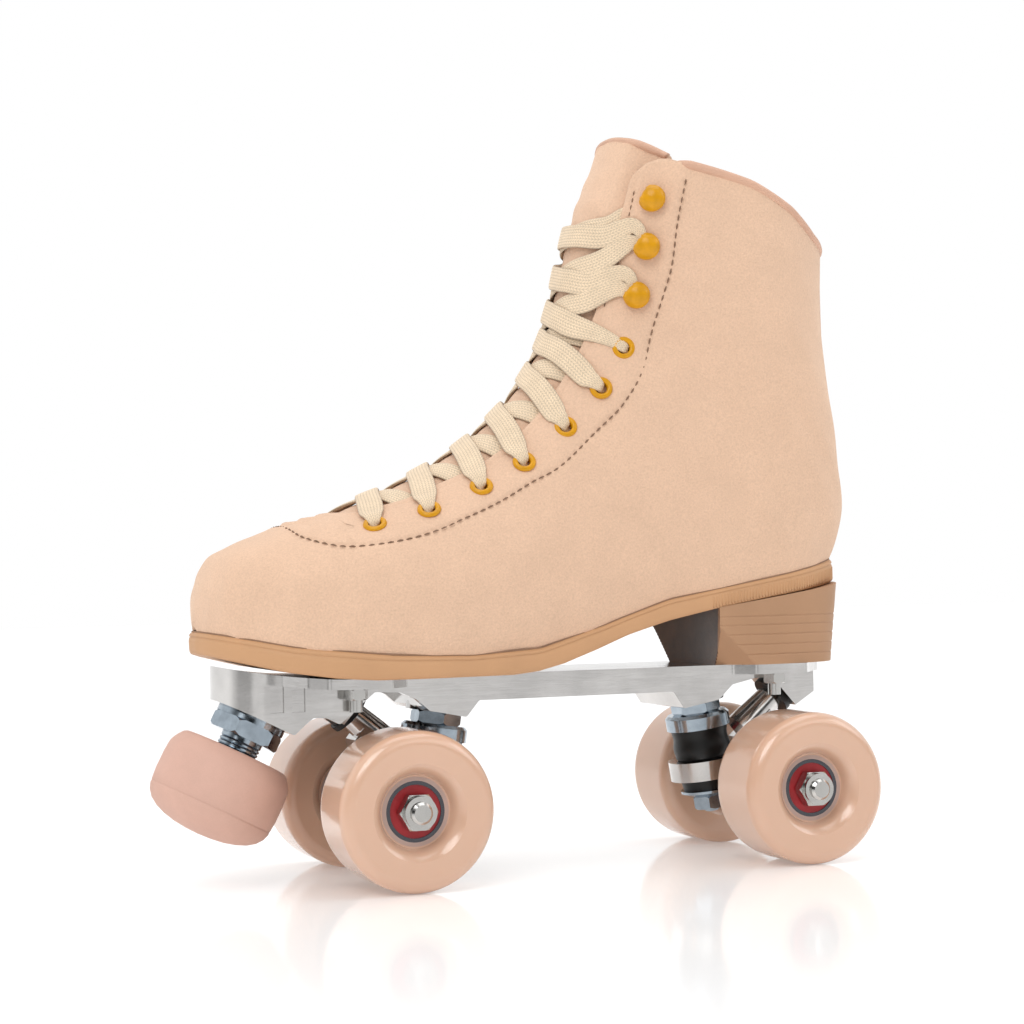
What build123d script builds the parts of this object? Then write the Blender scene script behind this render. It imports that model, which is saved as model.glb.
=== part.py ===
from build123d import *
import os
from collections import namedtuple
from math import cos, hypot, pi, radians, sin

# One left quad roller skate, laced shut, standing on its four wheels.
# +X points to the toe, +Y to the skate's own left, +Z up.  The origin is on the floor,
# midway between the four wheels.  Millimetres.

# ---- running gear ----
WHEELBASE = 160.0
TRACK = 78.0                # between the middle planes of the two wheels of one axle
WHEEL_RADIUS = 29.0
WHEEL_WIDTH = 32.0
WHEEL_LIP = 5.0
DISH_MOUTH_RADIUS = 17.5
DISH_FLOOR_RADIUS = 12.5
HUB_RADIUS = 12.5
BEARING_RECESS = 6.4
BEARING_RADIUS = 11.0
BEARING_WIDTH = 7.0
RACE_INNER_RADIUS = 9.6     # inside of the outer race, where the seal is pressed in
CONE_RADIUS = 5.95          # outside of the inner race
BALL_RADIUS = 1.98
BALL_PITCH_RADIUS = 7.5
BALL_COUNT = 7
RACE_GROOVE = 2.06
SEAL_THICKNESS = 0.5
SEAL_RECESS = 0.4
SEAL_RUNNING_GAP = 0.06
CAGE_HALF_WIDTH = 1.2
AXLE_RADIUS = 4.0
AXLE_END = 57.0
AXLE_NUT_ACROSS_FLATS = 12.7
AXLE_NUT_HEX_HEIGHT = 4.6
AXLE_NUT_COLLAR_RADIUS = 6.0
AXLE_NUT_HEIGHT = 6.6

# ---- trucks, seen from the side; X is measured outboard from the middle of the skate ----
AXLE_X = WHEELBASE / 2
AXLE_Z = WHEEL_RADIUS
RING_X = 58.8
RING_Z = 34.7
KINGPIN_LEAN = 9.0          # the lower end leans outboard
KINGPIN_RADIUS = 4.75
PIVOT_RISE = 41.7           # steering axis above the horizontal
PIVOT_REACH = 42.4          # ring centre to cup mouth along the steering axis
RING_RADIUS = 14.4
RING_HEIGHT = 7.6
RING_BORE = 8.5
BOSS_FACE = 26.6            # height of the plate's boss face above the ring centre, along the kingpin
JAM_NUT_HEIGHT = 4.6
JAM_NUT_ACROSS_FLATS = 17.0
RETAINER_RADIUS = 12.8
RETAINER_SKIRT = 4.6
RETAINER_WALL = 1.3
UPPER_CUSHION_RADIUS = 11.0
LOWER_CUSHION_RADIUS = 10.7
LOWER_CUSHION_HEIGHT = 6.0
LOWER_RETAINER_RADIUS = 11.2
KINGPIN_HEAD_HEIGHT = 5.4
KINGPIN_HEAD_ACROSS_FLATS = 12.7
PIVOT_NOSE_RADIUS = 4.5
PIVOT_RUNNING_GAP = 0.05
CUP_RADIUS = 7.5
CUP_DEPTH = 10.0
CUP_LIP = 2.2
HANGER_TUBE_RADIUS = 8.2
HANGER_SHOULDER_RADIUS = 5.6

# ---- plate ----
PLATE_TOP = 76.0
FLANGE = 3.8
FLANGE_HALF_WIDTH = 24.0
FLANGE_BOLT_HALF_WIDTH = 31.0
SKIRT_HALF_WIDTH = 20.0
SKIRT_WALL = 3.0
PLATE_FRONT = 148.2         # where the top's slope would end if the nose weren't round
NOSE_RADIUS = 21.0
NOSE_CENTRE = 121.0
PLATE_REAR = -103.0
RAMP_START = 95.0
RAMP_FRONT_Z = 83.0
MOUNT_BOLT_X = (94.0, -78.0)
MOUNT_BOLT_Y = 24.0
MOUNT_BOLT_RADIUS = 2.5
MOUNT_NUT_ACROSS_FLATS = 8.0
MOUNT_NUT_HEIGHT = 4.0
BOLT_HEAD_RADIUS = 5.0
BOLT_HEAD_HEIGHT = 1.6

# ---- toe stop ----
STOP_LEAN = 27.0
STOP_TOP_X = 133.2
STOP_TOP_Z = 49.2
STOP_TOP_RADIUS = 20.3
STOP_RADIUS = 24.1
STOP_HEIGHT = 28.4
STOP_BEVEL = 4.8
STOP_CORNER = 4.2
STEM_RADIUS = 7.94
STEM_THREAD_PITCH = 1.411
STEM_RUNNING_GAP = 0.06
STEM_UP = 24.0
STEM_EMBEDDED = 14.0
STOP_NUT_BELOW_FACE = 8.0
STOP_NUT_ACROSS_FLATS = 24.0
STOP_WASHER_RADIUS = 13.2
STOP_HOLE_DEPTH = 15.0
STOP_WASHER_THICKNESS = 2.0
STOP_FACE = 13.6            # plate's boss face above the stop's top plane, along the stem

# ---- boot ----
UPPER_WALL = 2.2
LINING_WALL = 2.0
LAYER_GAP = 0.1
INSOLE_THICKNESS = 3.0
TONGUE_THICKNESS = 4.0
TONGUE_OVERLAP = 6.0
THROAT_LEAN = 49.0          # the lacing slope above the horizontal
BINDING_DEPTH = 3.2
BINDING_PROUD = 0.7
PIPING_HALF_WIDTH = 1.7
PIPING_PROUD = 0.9
LACE_WIDTH = 8.6
LACE_THICKNESS = 1.4
LACE_END_GAP = 2.0          # from a strap's end to the eyelet beside it
EYELET_RADIUS = 4.3
EYELET_BORE = 2.3
EYELET_FLANGE = 0.7
HOOK_RADIUS = 5.0
HEEL_BREAST_X = -51.0
HEEL_HALF_WIDTH = 31.5

# Cross-sections of the boot.  Each lies in a plane square to the side view: it runs from a
# point on the instep line to a point on the bottom or back line, with a half width, a shift
# towards +Y, how square its lower and upper halves are, and where it is widest.
Section = namedtuple("Section", "top bottom half_width shift low high widest")
SECTIONS = (
    Section((148.2, 103.0), (148.4, 88.0), 4.0, -5.0, 2.2, 2.0, 0.50),
    Section((145.5, 114.5), (146.4, 86.0), 18.0, -5.0, 3.0, 2.0, 0.48),
    Section((138.0, 123.0), (139.0, 84.0), 29.0, -4.5, 3.6, 2.1, 0.45),
    Section((120.0, 130.8), (122.0, 80.5), 39.5, -3.0, 4.0, 2.2, 0.42),
    Section((94.0, 138.0), (97.0, 77.5), 45.5, -0.5, 4.2, 2.2, 0.40),
    Section((67.0, 148.5), (70.0, 76.0), 46.5, 1.0, 4.2, 2.1, 0.38),
    Section((42.0, 163.0), (38.0, 76.0), 42.5, 1.5, 4.0, 2.0, 0.38),
    Section((22.0, 181.0), (6.0, 81.0), 37.5, 1.0, 3.6, 2.0, 0.40),
    Section((9.0, 200.0), (-28.0, 92.0), 34.0, 0.0, 3.4, 2.1, 0.42),
    Section((2.0, 219.0), (-78.0, 101.0), 33.0, 0.0, 3.2, 2.2, 0.46),
    Section((-1.5, 234.0), (-111.5, 107.0), 33.5, 0.0, 2.8, 2.2, 0.50),
    Section((-5.0, 246.0), (-120.0, 132.0), 36.0, 0.0, 2.3, 2.2, 0.50),
    Section((-8.5, 259.0), (-117.5, 160.0), 38.5, 0.0, 2.2, 2.2, 0.50),
    Section((-13.5, 274.0), (-112.8, 205.0), 40.0, 0.0, 2.2, 2.2, 0.50),
    Section((-21.0, 297.0), (-112.6, 262.0), 41.5, 0.0, 2.2, 2.2, 0.50),
)
SECTION_STEPS = 8
SHAFT_STATIONS = (12.5, 13.5)  # in-between sections that keep the collar smooth


# ---------------------------------------------------------------- helpers


def side_polygon(points, half_width, y_mid=0.0):
    """A straight-sided prism: (x, z) corners seen from the side, either side of y_mid."""
    face = make_face(Polyline(*[(x, y_mid, z) for x, z in points], close=True).edges())
    return extrude(face, half_width, dir=(0, 1, 0), both=True)



def cylinder_between(start, end, radius, end_radius=None):
    """A round bar or taper from one point to another."""
    axis = Vector(*end) - Vector(*start)
    plane = Plane(origin=start, z_dir=axis)
    if end_radius is None or end_radius == radius:
        solid = Cylinder(radius, axis.length, align=(Align.CENTER, Align.CENTER, Align.MIN))
    else:
        solid = Cone(radius, end_radius, axis.length, align=(Align.CENTER, Align.CENTER, Align.MIN))
    return plane * solid


def hexagon(across_flats, height, chamfer_size=0.6):
    """A hex prism standing on z = 0 with its corners turned off at both ends."""
    corner = across_flats / 2 / cos(radians(30))
    prism = extrude(RegularPolygon(corner, 6), height)
    turned = Cylinder(corner, height, align=(Align.CENTER, Align.CENTER, Align.MIN))
    turned = chamfer(turned.edges().filter_by(GeomType.CIRCLE), chamfer_size)
    return prism & turned


def spun(points):
    """A solid of revolution about local Z from (radius, height) corners."""
    outline = Polyline(*[(r, 0, h) for r, h in points], close=True)
    return revolve(make_face(outline.edges()), Axis.Z)


def ring(outer, inner, height, start=0.0):
    return spun([(inner, start), (outer, start), (outer, start + height), (inner, start + height)])


def rounded(start, end, centre):
    """A corner arc in the local XZ plane from (radius, height) points."""
    radius = hypot(start[0] - centre[0], start[1] - centre[1])
    out = Vector(start[0] + end[0] - 2 * centre[0], 0,
        start[1] + end[1] - 2 * centre[1]).normalized() * radius
    middle = (centre[0] + out.X, 0, centre[1] + out.Z)
    return ThreePointArc((start[0], 0, start[1]), middle, (end[0], 0, end[1]))


def export(name, shape):
    """Writes one named sub-part; a group of alike pieces stays a group of solids."""
    solids = shape.solids()
    whole = solids[0] if len(solids) == 1 else Compound(children=list(solids))
    whole.label = name
    export_step(whole, "parts/" + name + ".step")


# ---------------------------------------------------------------- boot surfaces


def section_curve(section, inset, toe_push):
    """Closed outline of one boot section, moved inwards by inset."""
    top_x, top_z = section.top
    bottom_x, bottom_z = section.bottom
    length = hypot(top_x - bottom_x, top_z - bottom_z)
    along_x = (top_x - bottom_x) / length
    along_z = (top_z - bottom_z) / length
    waist = section.widest * length
    half_width = max(section.half_width - inset, 1.0)
    points = []
    for step in range(SECTION_STEPS * 2):
        angle = pi / 2 - pi * step / SECTION_STEPS
        side = 1 if step < SECTION_STEPS else -1
        if sin(angle) >= 0:
            power = 2 / section.high
            height = waist + (length - waist - inset) * sin(angle) ** power
        else:
            power = 2 / section.low
            height = waist - (waist - inset) * (-sin(angle)) ** power
        out = side * half_width * abs(cos(angle)) ** power
        if step in (0, SECTION_STEPS):
            out = 0.0
        x = bottom_x + along_x * height - toe_push
        points.append((x, section.shift + out, bottom_z + along_z * height))
    return Spline(*points, periodic=True)


def section_at(station):
    """A section anywhere along the boot, blended smoothly from the four nearest ones."""
    last = len(SECTIONS) - 1
    number = min(int(station), last - 1)
    part = station - number
    near = [SECTIONS[min(max(k, 0), last)] for k in range(number - 1, number + 3)]
    weights = (
        (-part + 2 * part**2 - part**3) / 2,
        (2 - 5 * part**2 + 3 * part**3) / 2,
        (part + 4 * part**2 - 3 * part**3) / 2,
        (-(part**2) + part**3) / 2,
    )
    numbers = [section.top + section.bottom + section[2:] for section in near]
    mixed = [sum(w * value for w, value in zip(weights, column)) for column in zip(*numbers)]
    return Section((mixed[0], mixed[1]), (mixed[2], mixed[3]), *mixed[4:])


def boot_form(inset):
    """The solid shape inside the boot's outer surface, moved inwards by inset."""
    first = 0 if inset < 1 else 1
    stations = [*range(first, len(SECTIONS)), *SHAFT_STATIONS]
    faces = []
    for station in sorted(stations):
        toe_push = inset * max(0.0, 1.0 - station / 4)
        faces.append(make_face([section_curve(section_at(station), inset, toe_push)]))
    return loft(faces)


def sole_top_line():
    """Where the boot meets the sole, from heel to toe."""
    return Spline(
        (-122, 0, 118.7), (-80, 0, 110.7), (-30, 0, 102.0), (-2, 0, 93.0),
        (26, 0, 85.2), (55, 0, 83.6), (85, 0, 84.5), (120, 0, 88.2), (154, 0, 95.2),
    )


def above_sole(lift=0.0):
    """Everything over the sole's top surface."""
    line = Pos(0, 0, lift) * sole_top_line()
    start = line @ 0
    end = line @ 1
    frame = Polyline(end, (end.X, 0, 320), (start.X, 0, 320), start)
    face = make_face([line.edge()] + list(frame.edges()))
    return extrude(face, 80, dir=(0, 1, 0), both=True)


def below_collar(drop=0.0):
    """Everything under the slanted collar line of the boot."""
    line = [(-10, 277), (-24, 274.5), (-40, 269.5), (-64, 262.0), (-84, 253.0), (-98, 244.5), (-112,
        239.5),
            (-140, 229.5)]
    rim = [(x, z - drop) for x, z in line]
    return side_polygon([(170, 0), (170, 277 - drop)] + rim + [(-140, 0)], 80)


def below_tongue_top():
    """Everything under the rounded top of the tongue."""
    return side_polygon([(130, 0), (130, 300), (-15, 284.5), (-32, 285.0), (-50, 281), (-140, 250),
        (-140, 0)], 80)


def throat_region(wider=0.0, lower=0.0):
    """The lacing gap up the front of the boot, as a volume to keep or remove."""
    slope = Plane(
        origin=(97, 0, 137),
        x_dir=(0, 1, 0),
        z_dir=(sin(radians(THROAT_LEAN)), 0, cos(radians(THROAT_LEAN))),
    )
    corners = [(9, -lower), (16.5, 14), (18, 60), (19.5, 130), (26, 215)]
    right = [(y + wider, t) for y, t in corners]
    left = [(-y, t) for y, t in reversed(right)]
    gap = make_face(FilletPolyline(*(right + left), radius=3, close=True).edges())
    slab = slope * extrude(gap, 70, both=True)
    front = side_polygon(
        [(112, 100), (112, 160), (20, 320), (-60, 320), (-62, 250), (-50, 210), (-20, 165), (20,
            135), (80, 116)],
        70,
    )
    return slab & front


def boot_point(station, turn):
    """A point on the boot's outer surface and the outward normal there."""
    def place(s, v):
        section = section_at(s)
        angle = pi / 2 - pi * abs(v)
        power = 2 / section.high
        rise = section.widest + (1 - section.widest) * sin(angle) ** power
        out = (1 if v > 0 else -1) * section.half_width * cos(angle) ** power
        x = section.bottom[0] + (section.top[0] - section.bottom[0]) * rise
        z = section.bottom[1] + (section.top[1] - section.bottom[1]) * rise
        return Vector(x, section.shift + out, z)

    here = place(station, turn)
    side = 1 if turn > 0 else -1
    across = place(station, turn + 0.01 * side) - here
    along = place(station + 0.05, turn) - here
    normal = along.cross(across).normalized() * -side
    return here, normal


# ---------------------------------------------------------------- boot


def footprint(wider=0.0):
    """Plan outline of the sole, seen from above."""
    outer = [(149.5, -5), (146, 13), (137, 25), (120, 37.5), (96, 46), (70, 48.5), (44, 45), (14, 38.5),
             (-20, 34.5), (-60, 33.5), (-90, 31.5), (-109, 20)]
    inner = [(-117, 0), (-109, -20), (-90, -31.5), (-60, -33.5), (-20, -33.5), (14, -36), (44, -42.5),
             (70, -46.5), (96, -47), (120, -42.5), (137, -33.5), (146, -22)]
    outline = Spline(*[(x, y) for x, y in outer + inner], periodic=True)
    face = make_face([outline])
    return offset(face, wider) if wider else face


def sole_bottom_edges():
    """Underside of the sole seen from the side, from toe to heel."""
    toe = ThreePointArc((153, 0, 87.4), (121, 0, 79.0), (92, 0, PLATE_TOP))
    flat = Line((92, 0, PLATE_TOP), (38, 0, PLATE_TOP))
    waist = Spline((38, 0, PLATE_TOP), (16, 0, 79.3), (-12, 0, 89.0), (-50, 0, 98.2), (-122, 0, 108.6),
                   tangents=[(-1, 0, 0), (-1, 0, 0.13)])
    return [toe.edge(), flat.edge(), waist.edge()]


def sole_slab():
    """The sole's thickness seen from the side, between its underside and the boot."""
    top = sole_top_line()
    rear = Line((-122, 0, 108.6), top @ 0)
    front = Line(top @ 1, (153, 0, 87.4))
    face = make_face(sole_bottom_edges() + [rear.edge(), top.edge(), front.edge()])
    return extrude(face, 80, dir=(0, 1, 0), both=True)


def under_sole():
    """Everything between the plate and the sole's underside."""
    floor_z = 40
    sides = Polyline((-122, 0, 108.6), (-122, 0, floor_z), (153, 0, floor_z), (153, 0, 87.4))
    face = make_face(sole_bottom_edges() + list(sides.edges()))
    return extrude(face, 80, dir=(0, 1, 0), both=True)


def bolt_places():
    return [(x, y) for x in MOUNT_BOLT_X for y in (MOUNT_BOLT_Y, -MOUNT_BOLT_Y)]


def bolt_seat_z(x):
    """Height of the top of a mounting bolt's head, sunk into the sole."""
    return 83.6 if x > 0 else 109.6


def bolt_holes(radius):
    holes = Part()
    for x, y in bolt_places():
        holes += Pos(x, y, 95) * Cylinder(radius, 70)
    return holes


def bolt_head_pockets():
    pockets = Part()
    for x, y in bolt_places():
        bottom = bolt_seat_z(x) - BOLT_HEAD_HEIGHT
        pockets += Pos(x, y, bottom + 10) * Cylinder(BOLT_HEAD_RADIUS, 20)
    return pockets


def outsole():
    sole = extrude(footprint(), 200) & sole_slab()
    return sole - bolt_holes(MOUNT_BOLT_RADIUS) - bolt_head_pockets()


def heel_plan(front_x, half_width, rear_x):
    """D-shaped heel outline: hollow breast in front, round at the back."""
    breast = ThreePointArc((front_x, -half_width), (front_x - 5, 0), (front_x, half_width))
    back = Spline((front_x, half_width), (front_x - 26, half_width), (rear_x + 9, half_width * 0.66),
                  (rear_x, 0), (rear_x + 9, -half_width * 0.66), (front_x - 26, -half_width),
                  (front_x, -half_width))
    return make_face([breast.edge(), back.edge()])


def heel():
    bottom = Pos(0, 0, PLATE_TOP) * heel_plan(HEEL_BREAST_X, HEEL_HALF_WIDTH, -112.5)
    top = Pos(0, 0, 112) * heel_plan(HEEL_BREAST_X - 1, HEEL_HALF_WIDTH + 1.5, -116.5)
    block = loft([bottom, top]) & under_sole()
    for side in (1, -1):
        corner = make_face(Polyline((HEEL_BREAST_X + 4, side * 34), (HEEL_BREAST_X - 13, side * 34),
                                    (HEEL_BREAST_X + 4, side * 18), close=True).edges())
        tip = Vector(HEEL_BREAST_X + 4, side * 34, 88)
        wedge = loft([Pos(0, 0, PLATE_TOP - 1) * corner,
                      Pos(0, 0, 90) * Pos(tip.X, tip.Y, 0) * scale(Pos(-tip.X, -tip.Y, 0) * corner,
                          0.15)])
        block -= wedge
    return block - bolt_holes(MOUNT_BOLT_RADIUS)


def punched(solid, radius):
    """Lacing holes through the front edges of the boot."""
    for place, normal in eyelet_places():
        solid -= cylinder_between(place - normal * 12, place + normal * 6, radius)
    return solid


EYELET_ROW = ((4.25, 0.222), (5.0, 0.236), (5.8, 0.24), (6.55, 0.256), (7.45, 0.275), (8.35, 0.292),
    (9.15, 0.288))
HOOK_ROW = ((10.4, 0.275), (11.65, 0.269), (12.65, 0.263))


def eyelet_places():
    return [boot_point(s, v * side) for s, v in EYELET_ROW for side in (1, -1)]


def hook_places():
    return [boot_point(s, v * side) for s, v in HOOK_ROW for side in (1, -1)]


def eyelets():
    group = []
    for place, normal in eyelet_places():
        seat = Plane(origin=place, z_dir=normal)
        barrel = EYELET_BORE + 0.35
        group.append(seat * spun([(EYELET_BORE, -2.0), (barrel, -2.0), (barrel, 0.45), (EYELET_RADIUS, 0.45),
                                  (EYELET_RADIUS - 0.6, 0.45 + EYELET_FLANGE),
                                  (EYELET_BORE, 0.45 + EYELET_FLANGE)]))
    return Compound(children=group)


def hooks():
    group = []
    for place, normal in hook_places():
        seat = Plane(origin=place, z_dir=normal)
        group.append(seat * spun([(0, 0.45), (3.2, 0.45), (3.2, 1.2), (1.6, 1.4), (1.6, 3.0),
            (HOOK_RADIUS, 3.4),
                                  (HOOK_RADIUS - 0.4, 4.8), (HOOK_RADIUS - 2, 6.0), (0, 6.6)]))
    return Compound(children=group)


def lace_straps():
    """The lace where it crosses the tongue, one strap for each pair of eyelets or hooks."""
    over = boot_form(-LACE_THICKNESS - 0.2)
    under = boot_form(-0.2)
    straps = []
    for s, v in EYELET_ROW + HOOK_ROW[:2]:
        middle = boot_point(s, 0.001)[0]
        end = boot_point(s, v)[0]
        run = Vector(end.X - middle.X, 0, end.Z - middle.Z).normalized()
        centre = (middle + end) * 0.5
        frame = Plane(origin=(centre.X, 0, centre.Z), x_dir=(0, 1, 0), z_dir=(-run.Z, 0, run.X))
        reach = 2 * (abs(end.Y) - EYELET_RADIUS - LACE_END_GAP)
        strap = (over & (frame * Box(reach, 26, LACE_WIDTH))) - under
        straps += strap.solids()
    return Compound(children=straps)


def upper_shell():
    body = ((boot_form(0) & above_sole()) & below_collar(BINDING_DEPTH)) - throat_region()
    body -= boot_form(UPPER_WALL)
    return punched(body, EYELET_BORE + 0.35)


def lining():
    outer = UPPER_WALL + LAYER_GAP
    body = ((boot_form(outer) & below_collar(BINDING_DEPTH)) & above_sole()) - throat_region(TONGUE_OVERLAP + 1, 9)
    return body - boot_form(outer + LINING_WALL)


def tongue():
    outer = UPPER_WALL + LAYER_GAP
    region = throat_region(TONGUE_OVERLAP, 8) & below_tongue_top()
    return (region - boot_form(outer + TONGUE_THICKNESS)) & boot_form(outer)


def collar_binding():
    band = (boot_form(-BINDING_PROUD) & below_collar()) - below_collar(BINDING_DEPTH)
    band -= throat_region(TONGUE_OVERLAP + 0.5)
    return band - boot_form(UPPER_WALL + LINING_WALL + 0.5)


def back_piping():
    strip = Pos(-110, 0, 172) * Box(60, PIPING_HALF_WIDTH * 2, 116) & above_sole(0.3)
    return (boot_form(-PIPING_PROUD) & strip) - boot_form(0)


def insole():
    inside = UPPER_WALL + LINING_WALL + 3 * LAYER_GAP
    return boot_form(inside) & (above_sole() - above_sole(INSOLE_THICKNESS))


# ---------------------------------------------------------------- wheels


def tyre():
    """Urethane roller; local Z is the axle, the origin its middle."""
    half = WHEEL_WIDTH / 2
    floor = half - BEARING_RECESS
    lip = WHEEL_RADIUS - WHEEL_LIP
    outline = [
        Line((HUB_RADIUS, 0, floor), (DISH_FLOOR_RADIUS + 0.6, 0, floor)),
        ThreePointArc((DISH_FLOOR_RADIUS + 0.6, 0, floor), (14.9, 0, half - 2.6),
            (DISH_MOUTH_RADIUS, 0, half - 0.4)),
        Line((DISH_MOUTH_RADIUS, 0, half - 0.4), (lip, 0, half)),
        rounded((lip, half), (WHEEL_RADIUS, half - WHEEL_LIP), (lip, half - WHEEL_LIP)),
        Line((WHEEL_RADIUS, 0, half - WHEEL_LIP), (WHEEL_RADIUS, 0, 0)),
        Line((WHEEL_RADIUS, 0, 0), (HUB_RADIUS, 0, 0)),
        Line((HUB_RADIUS, 0, 0), (HUB_RADIUS, 0, floor)),
    ]
    half_tyre = revolve(make_face([e.edge() for e in outline]), Axis.Z)
    return half_tyre + mirror(half_tyre, about=Plane.XY)


def hub_core():
    """Sleeve moulded into the tyre: a seat for one bearing at each end and a rib between."""
    end = WHEEL_WIDTH / 2 - BEARING_RECESS
    seat = end - BEARING_WIDTH
    return spun([(BEARING_RADIUS, -end), (HUB_RADIUS, -end), (HUB_RADIUS, end), (BEARING_RADIUS, end),
                 (BEARING_RADIUS, seat), (BEARING_RADIUS - 1.6, seat), (BEARING_RADIUS - 1.6, -seat),
                 (BEARING_RADIUS, -seat)])


def bearing_middles():
    """Where the two bearings sit along the wheel's own axle line."""
    middle = WHEEL_WIDTH / 2 - BEARING_RECESS - BEARING_WIDTH / 2
    return (middle, -middle)


def outer_race():
    half = BEARING_WIDTH / 2
    body = spun([(RACE_INNER_RADIUS, -half), (BEARING_RADIUS, -half), (BEARING_RADIUS, half),
        (RACE_INNER_RADIUS, half),
                 (RACE_INNER_RADIUS, half - 1.2), (RACE_INNER_RADIUS - 0.7, half - 1.2),
                 (RACE_INNER_RADIUS - 0.7, -half + 1.2), (RACE_INNER_RADIUS, -half + 1.2)])
    return body - Torus(BALL_PITCH_RADIUS, RACE_GROOVE)


def inner_race():
    half = BEARING_WIDTH / 2
    body = ring(CONE_RADIUS, AXLE_RADIUS, BEARING_WIDTH, -half)
    return body - Torus(BALL_PITCH_RADIUS, RACE_GROOVE)


def seal():
    """Thin ring closing the outer face of a bearing; local Z is outwards."""
    face = BEARING_WIDTH / 2 - SEAL_RECESS
    return ring(RACE_INNER_RADIUS, CONE_RADIUS + SEAL_RUNNING_GAP, SEAL_THICKNESS,
        face - SEAL_THICKNESS)


def balls_and_cage():
    cage = ring(BALL_PITCH_RADIUS + 0.45, BALL_PITCH_RADIUS - 0.45, 2 * CAGE_HALF_WIDTH,
        -CAGE_HALF_WIDTH)
    balls = []
    for number in range(BALL_COUNT):
        angle = 2 * pi * number / BALL_COUNT
        spot = Pos(BALL_PITCH_RADIUS * cos(angle), BALL_PITCH_RADIUS * sin(angle), 0)
        cage -= spot * Sphere(BALL_RADIUS + 0.05)
        balls.append(spot * Sphere(BALL_RADIUS))
    return cage.solids() + [s for ball in balls for s in ball.solids()]


def wheel_frame(end, side):
    """Middle of one wheel: end is +1 front or -1 rear, side is +1 left or -1 right."""
    return Plane(origin=(end * AXLE_X, side * TRACK / 2, AXLE_Z), x_dir=(1, 0, 0), z_dir=(0, side, 0))


def export_wheel(name, end, side):
    frame = wheel_frame(end, side)
    export(name + "_tyre", frame * tyre())
    export(name + "_hub_core", frame * hub_core())
    outer = Compound(children=[(frame * Pos(0, 0,
        h) * outer_race()).solid() for h in bearing_middles()])
    export(name + "_bearing_outer_races", outer)
    seals = []
    for h in bearing_middles():
        for turn in (0, 180):
            seals.append((frame * Pos(0, 0, h) * Rot(turn, 0, 0) * seal()).solid())
    export(name + "_bearing_seals", Compound(children=seals))
    rollers = []
    for h in bearing_middles():
        rollers += [frame * Pos(0, 0, h) * piece for piece in balls_and_cage()]
    export(name + "_bearing_balls", Compound(children=rollers))


# ---------------------------------------------------------------- trucks


def for_end(end, solid):
    """Trucks are drawn at the front; the rear one is its mirror image."""
    return solid if end > 0 else mirror(solid, about=Plane.YZ)


RING_CENTRE = Vector(RING_X, 0, RING_Z)
KINGPIN_UP = Vector(-sin(radians(KINGPIN_LEAN)), 0, cos(radians(KINGPIN_LEAN)))
STEER = Vector(cos(radians(PIVOT_RISE)), 0, sin(radians(PIVOT_RISE)))
KINGPIN_FRAME = Plane(origin=RING_CENTRE, x_dir=(cos(radians(KINGPIN_LEAN)), 0,
    sin(radians(KINGPIN_LEAN))),
                      z_dir=KINGPIN_UP)
STEER_FRAME = Plane(origin=RING_CENTRE, x_dir=(0, 1, 0), z_dir=STEER)
HALF_RING = RING_HEIGHT / 2
NUT_BOTTOM = BOSS_FACE - JAM_NUT_HEIGHT
RETAINER_BOTTOM = NUT_BOTTOM - RETAINER_SKIRT - RETAINER_WALL
CUSHION_TOP = NUT_BOTTOM - RETAINER_WALL
LOWER_CUSHION_BOTTOM = -HALF_RING - LOWER_CUSHION_HEIGHT
HEAD_TOP = LOWER_CUSHION_BOTTOM - RETAINER_WALL


def hanger():
    tube_end = TRACK / 2 - WHEEL_WIDTH / 2 + BEARING_RECESS
    profile = [(0, 0), (HANGER_TUBE_RADIUS, 0), (HANGER_TUBE_RADIUS, 18), (HANGER_TUBE_RADIUS - 0.8,
        tube_end - 2.4),
               (HANGER_SHOULDER_RADIUS, tube_end - 0.8), (HANGER_SHOULDER_RADIUS, tube_end), (0,
               tube_end)]
    half_tube = spun(profile)
    tube_mid = Plane(origin=(AXLE_X, 0, AXLE_Z), x_dir=(1, 0, 0), z_dir=(0, 1, 0))
    body = tube_mid * (half_tube + mirror(half_tube, about=Plane.XY))
    body += KINGPIN_FRAME * Cylinder(RING_RADIUS, RING_HEIGHT)
    wings = make_face(Polyline((9, -11), (24, -20), (24, 20), (9, 11), close=True).edges())
    body += KINGPIN_FRAME * Pos(0, 0, -HALF_RING) * extrude(wings, RING_HEIGHT - 2)
    web = [(70, 31.8), (80, 22), (88, 29), (89, 52), (85.5, 56.5), (72.5, 45.8)]
    body += side_polygon(web, 6)
    foot = RING_CENTRE + STEER * 21
    neck = RING_CENTRE + STEER * (PIVOT_REACH - CUP_LIP - 1)
    body += cylinder_between(foot, neck, 6.6, 5.4)
    nose = RING_CENTRE + STEER * (PIVOT_REACH + 3.5)
    body += cylinder_between(neck, nose, PIVOT_NOSE_RADIUS)
    body -= KINGPIN_FRAME * Cylinder(RING_BORE, RING_HEIGHT * 3)
    return body - tube_mid * Cylinder(AXLE_RADIUS, 80)


def axle():
    rod = Cylinder(AXLE_RADIUS, AXLE_END * 2)
    rod = chamfer(rod.edges().filter_by(GeomType.CIRCLE), 0.9)
    return Plane(origin=(AXLE_X, 0, AXLE_Z), z_dir=(0, 1, 0)) * rod


def axle_nut():
    """Self-locking nut with its round collar outwards; local Z is outwards."""
    body = hexagon(AXLE_NUT_ACROSS_FLATS, AXLE_NUT_HEX_HEIGHT)
    body += Pos(0, 0, AXLE_NUT_HEX_HEIGHT) * Cylinder(
        AXLE_NUT_COLLAR_RADIUS, AXLE_NUT_HEIGHT - AXLE_NUT_HEX_HEIGHT, align=(Align.CENTER,
            Align.CENTER, Align.MIN))
    return body - Cylinder(AXLE_RADIUS, 40)


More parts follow.
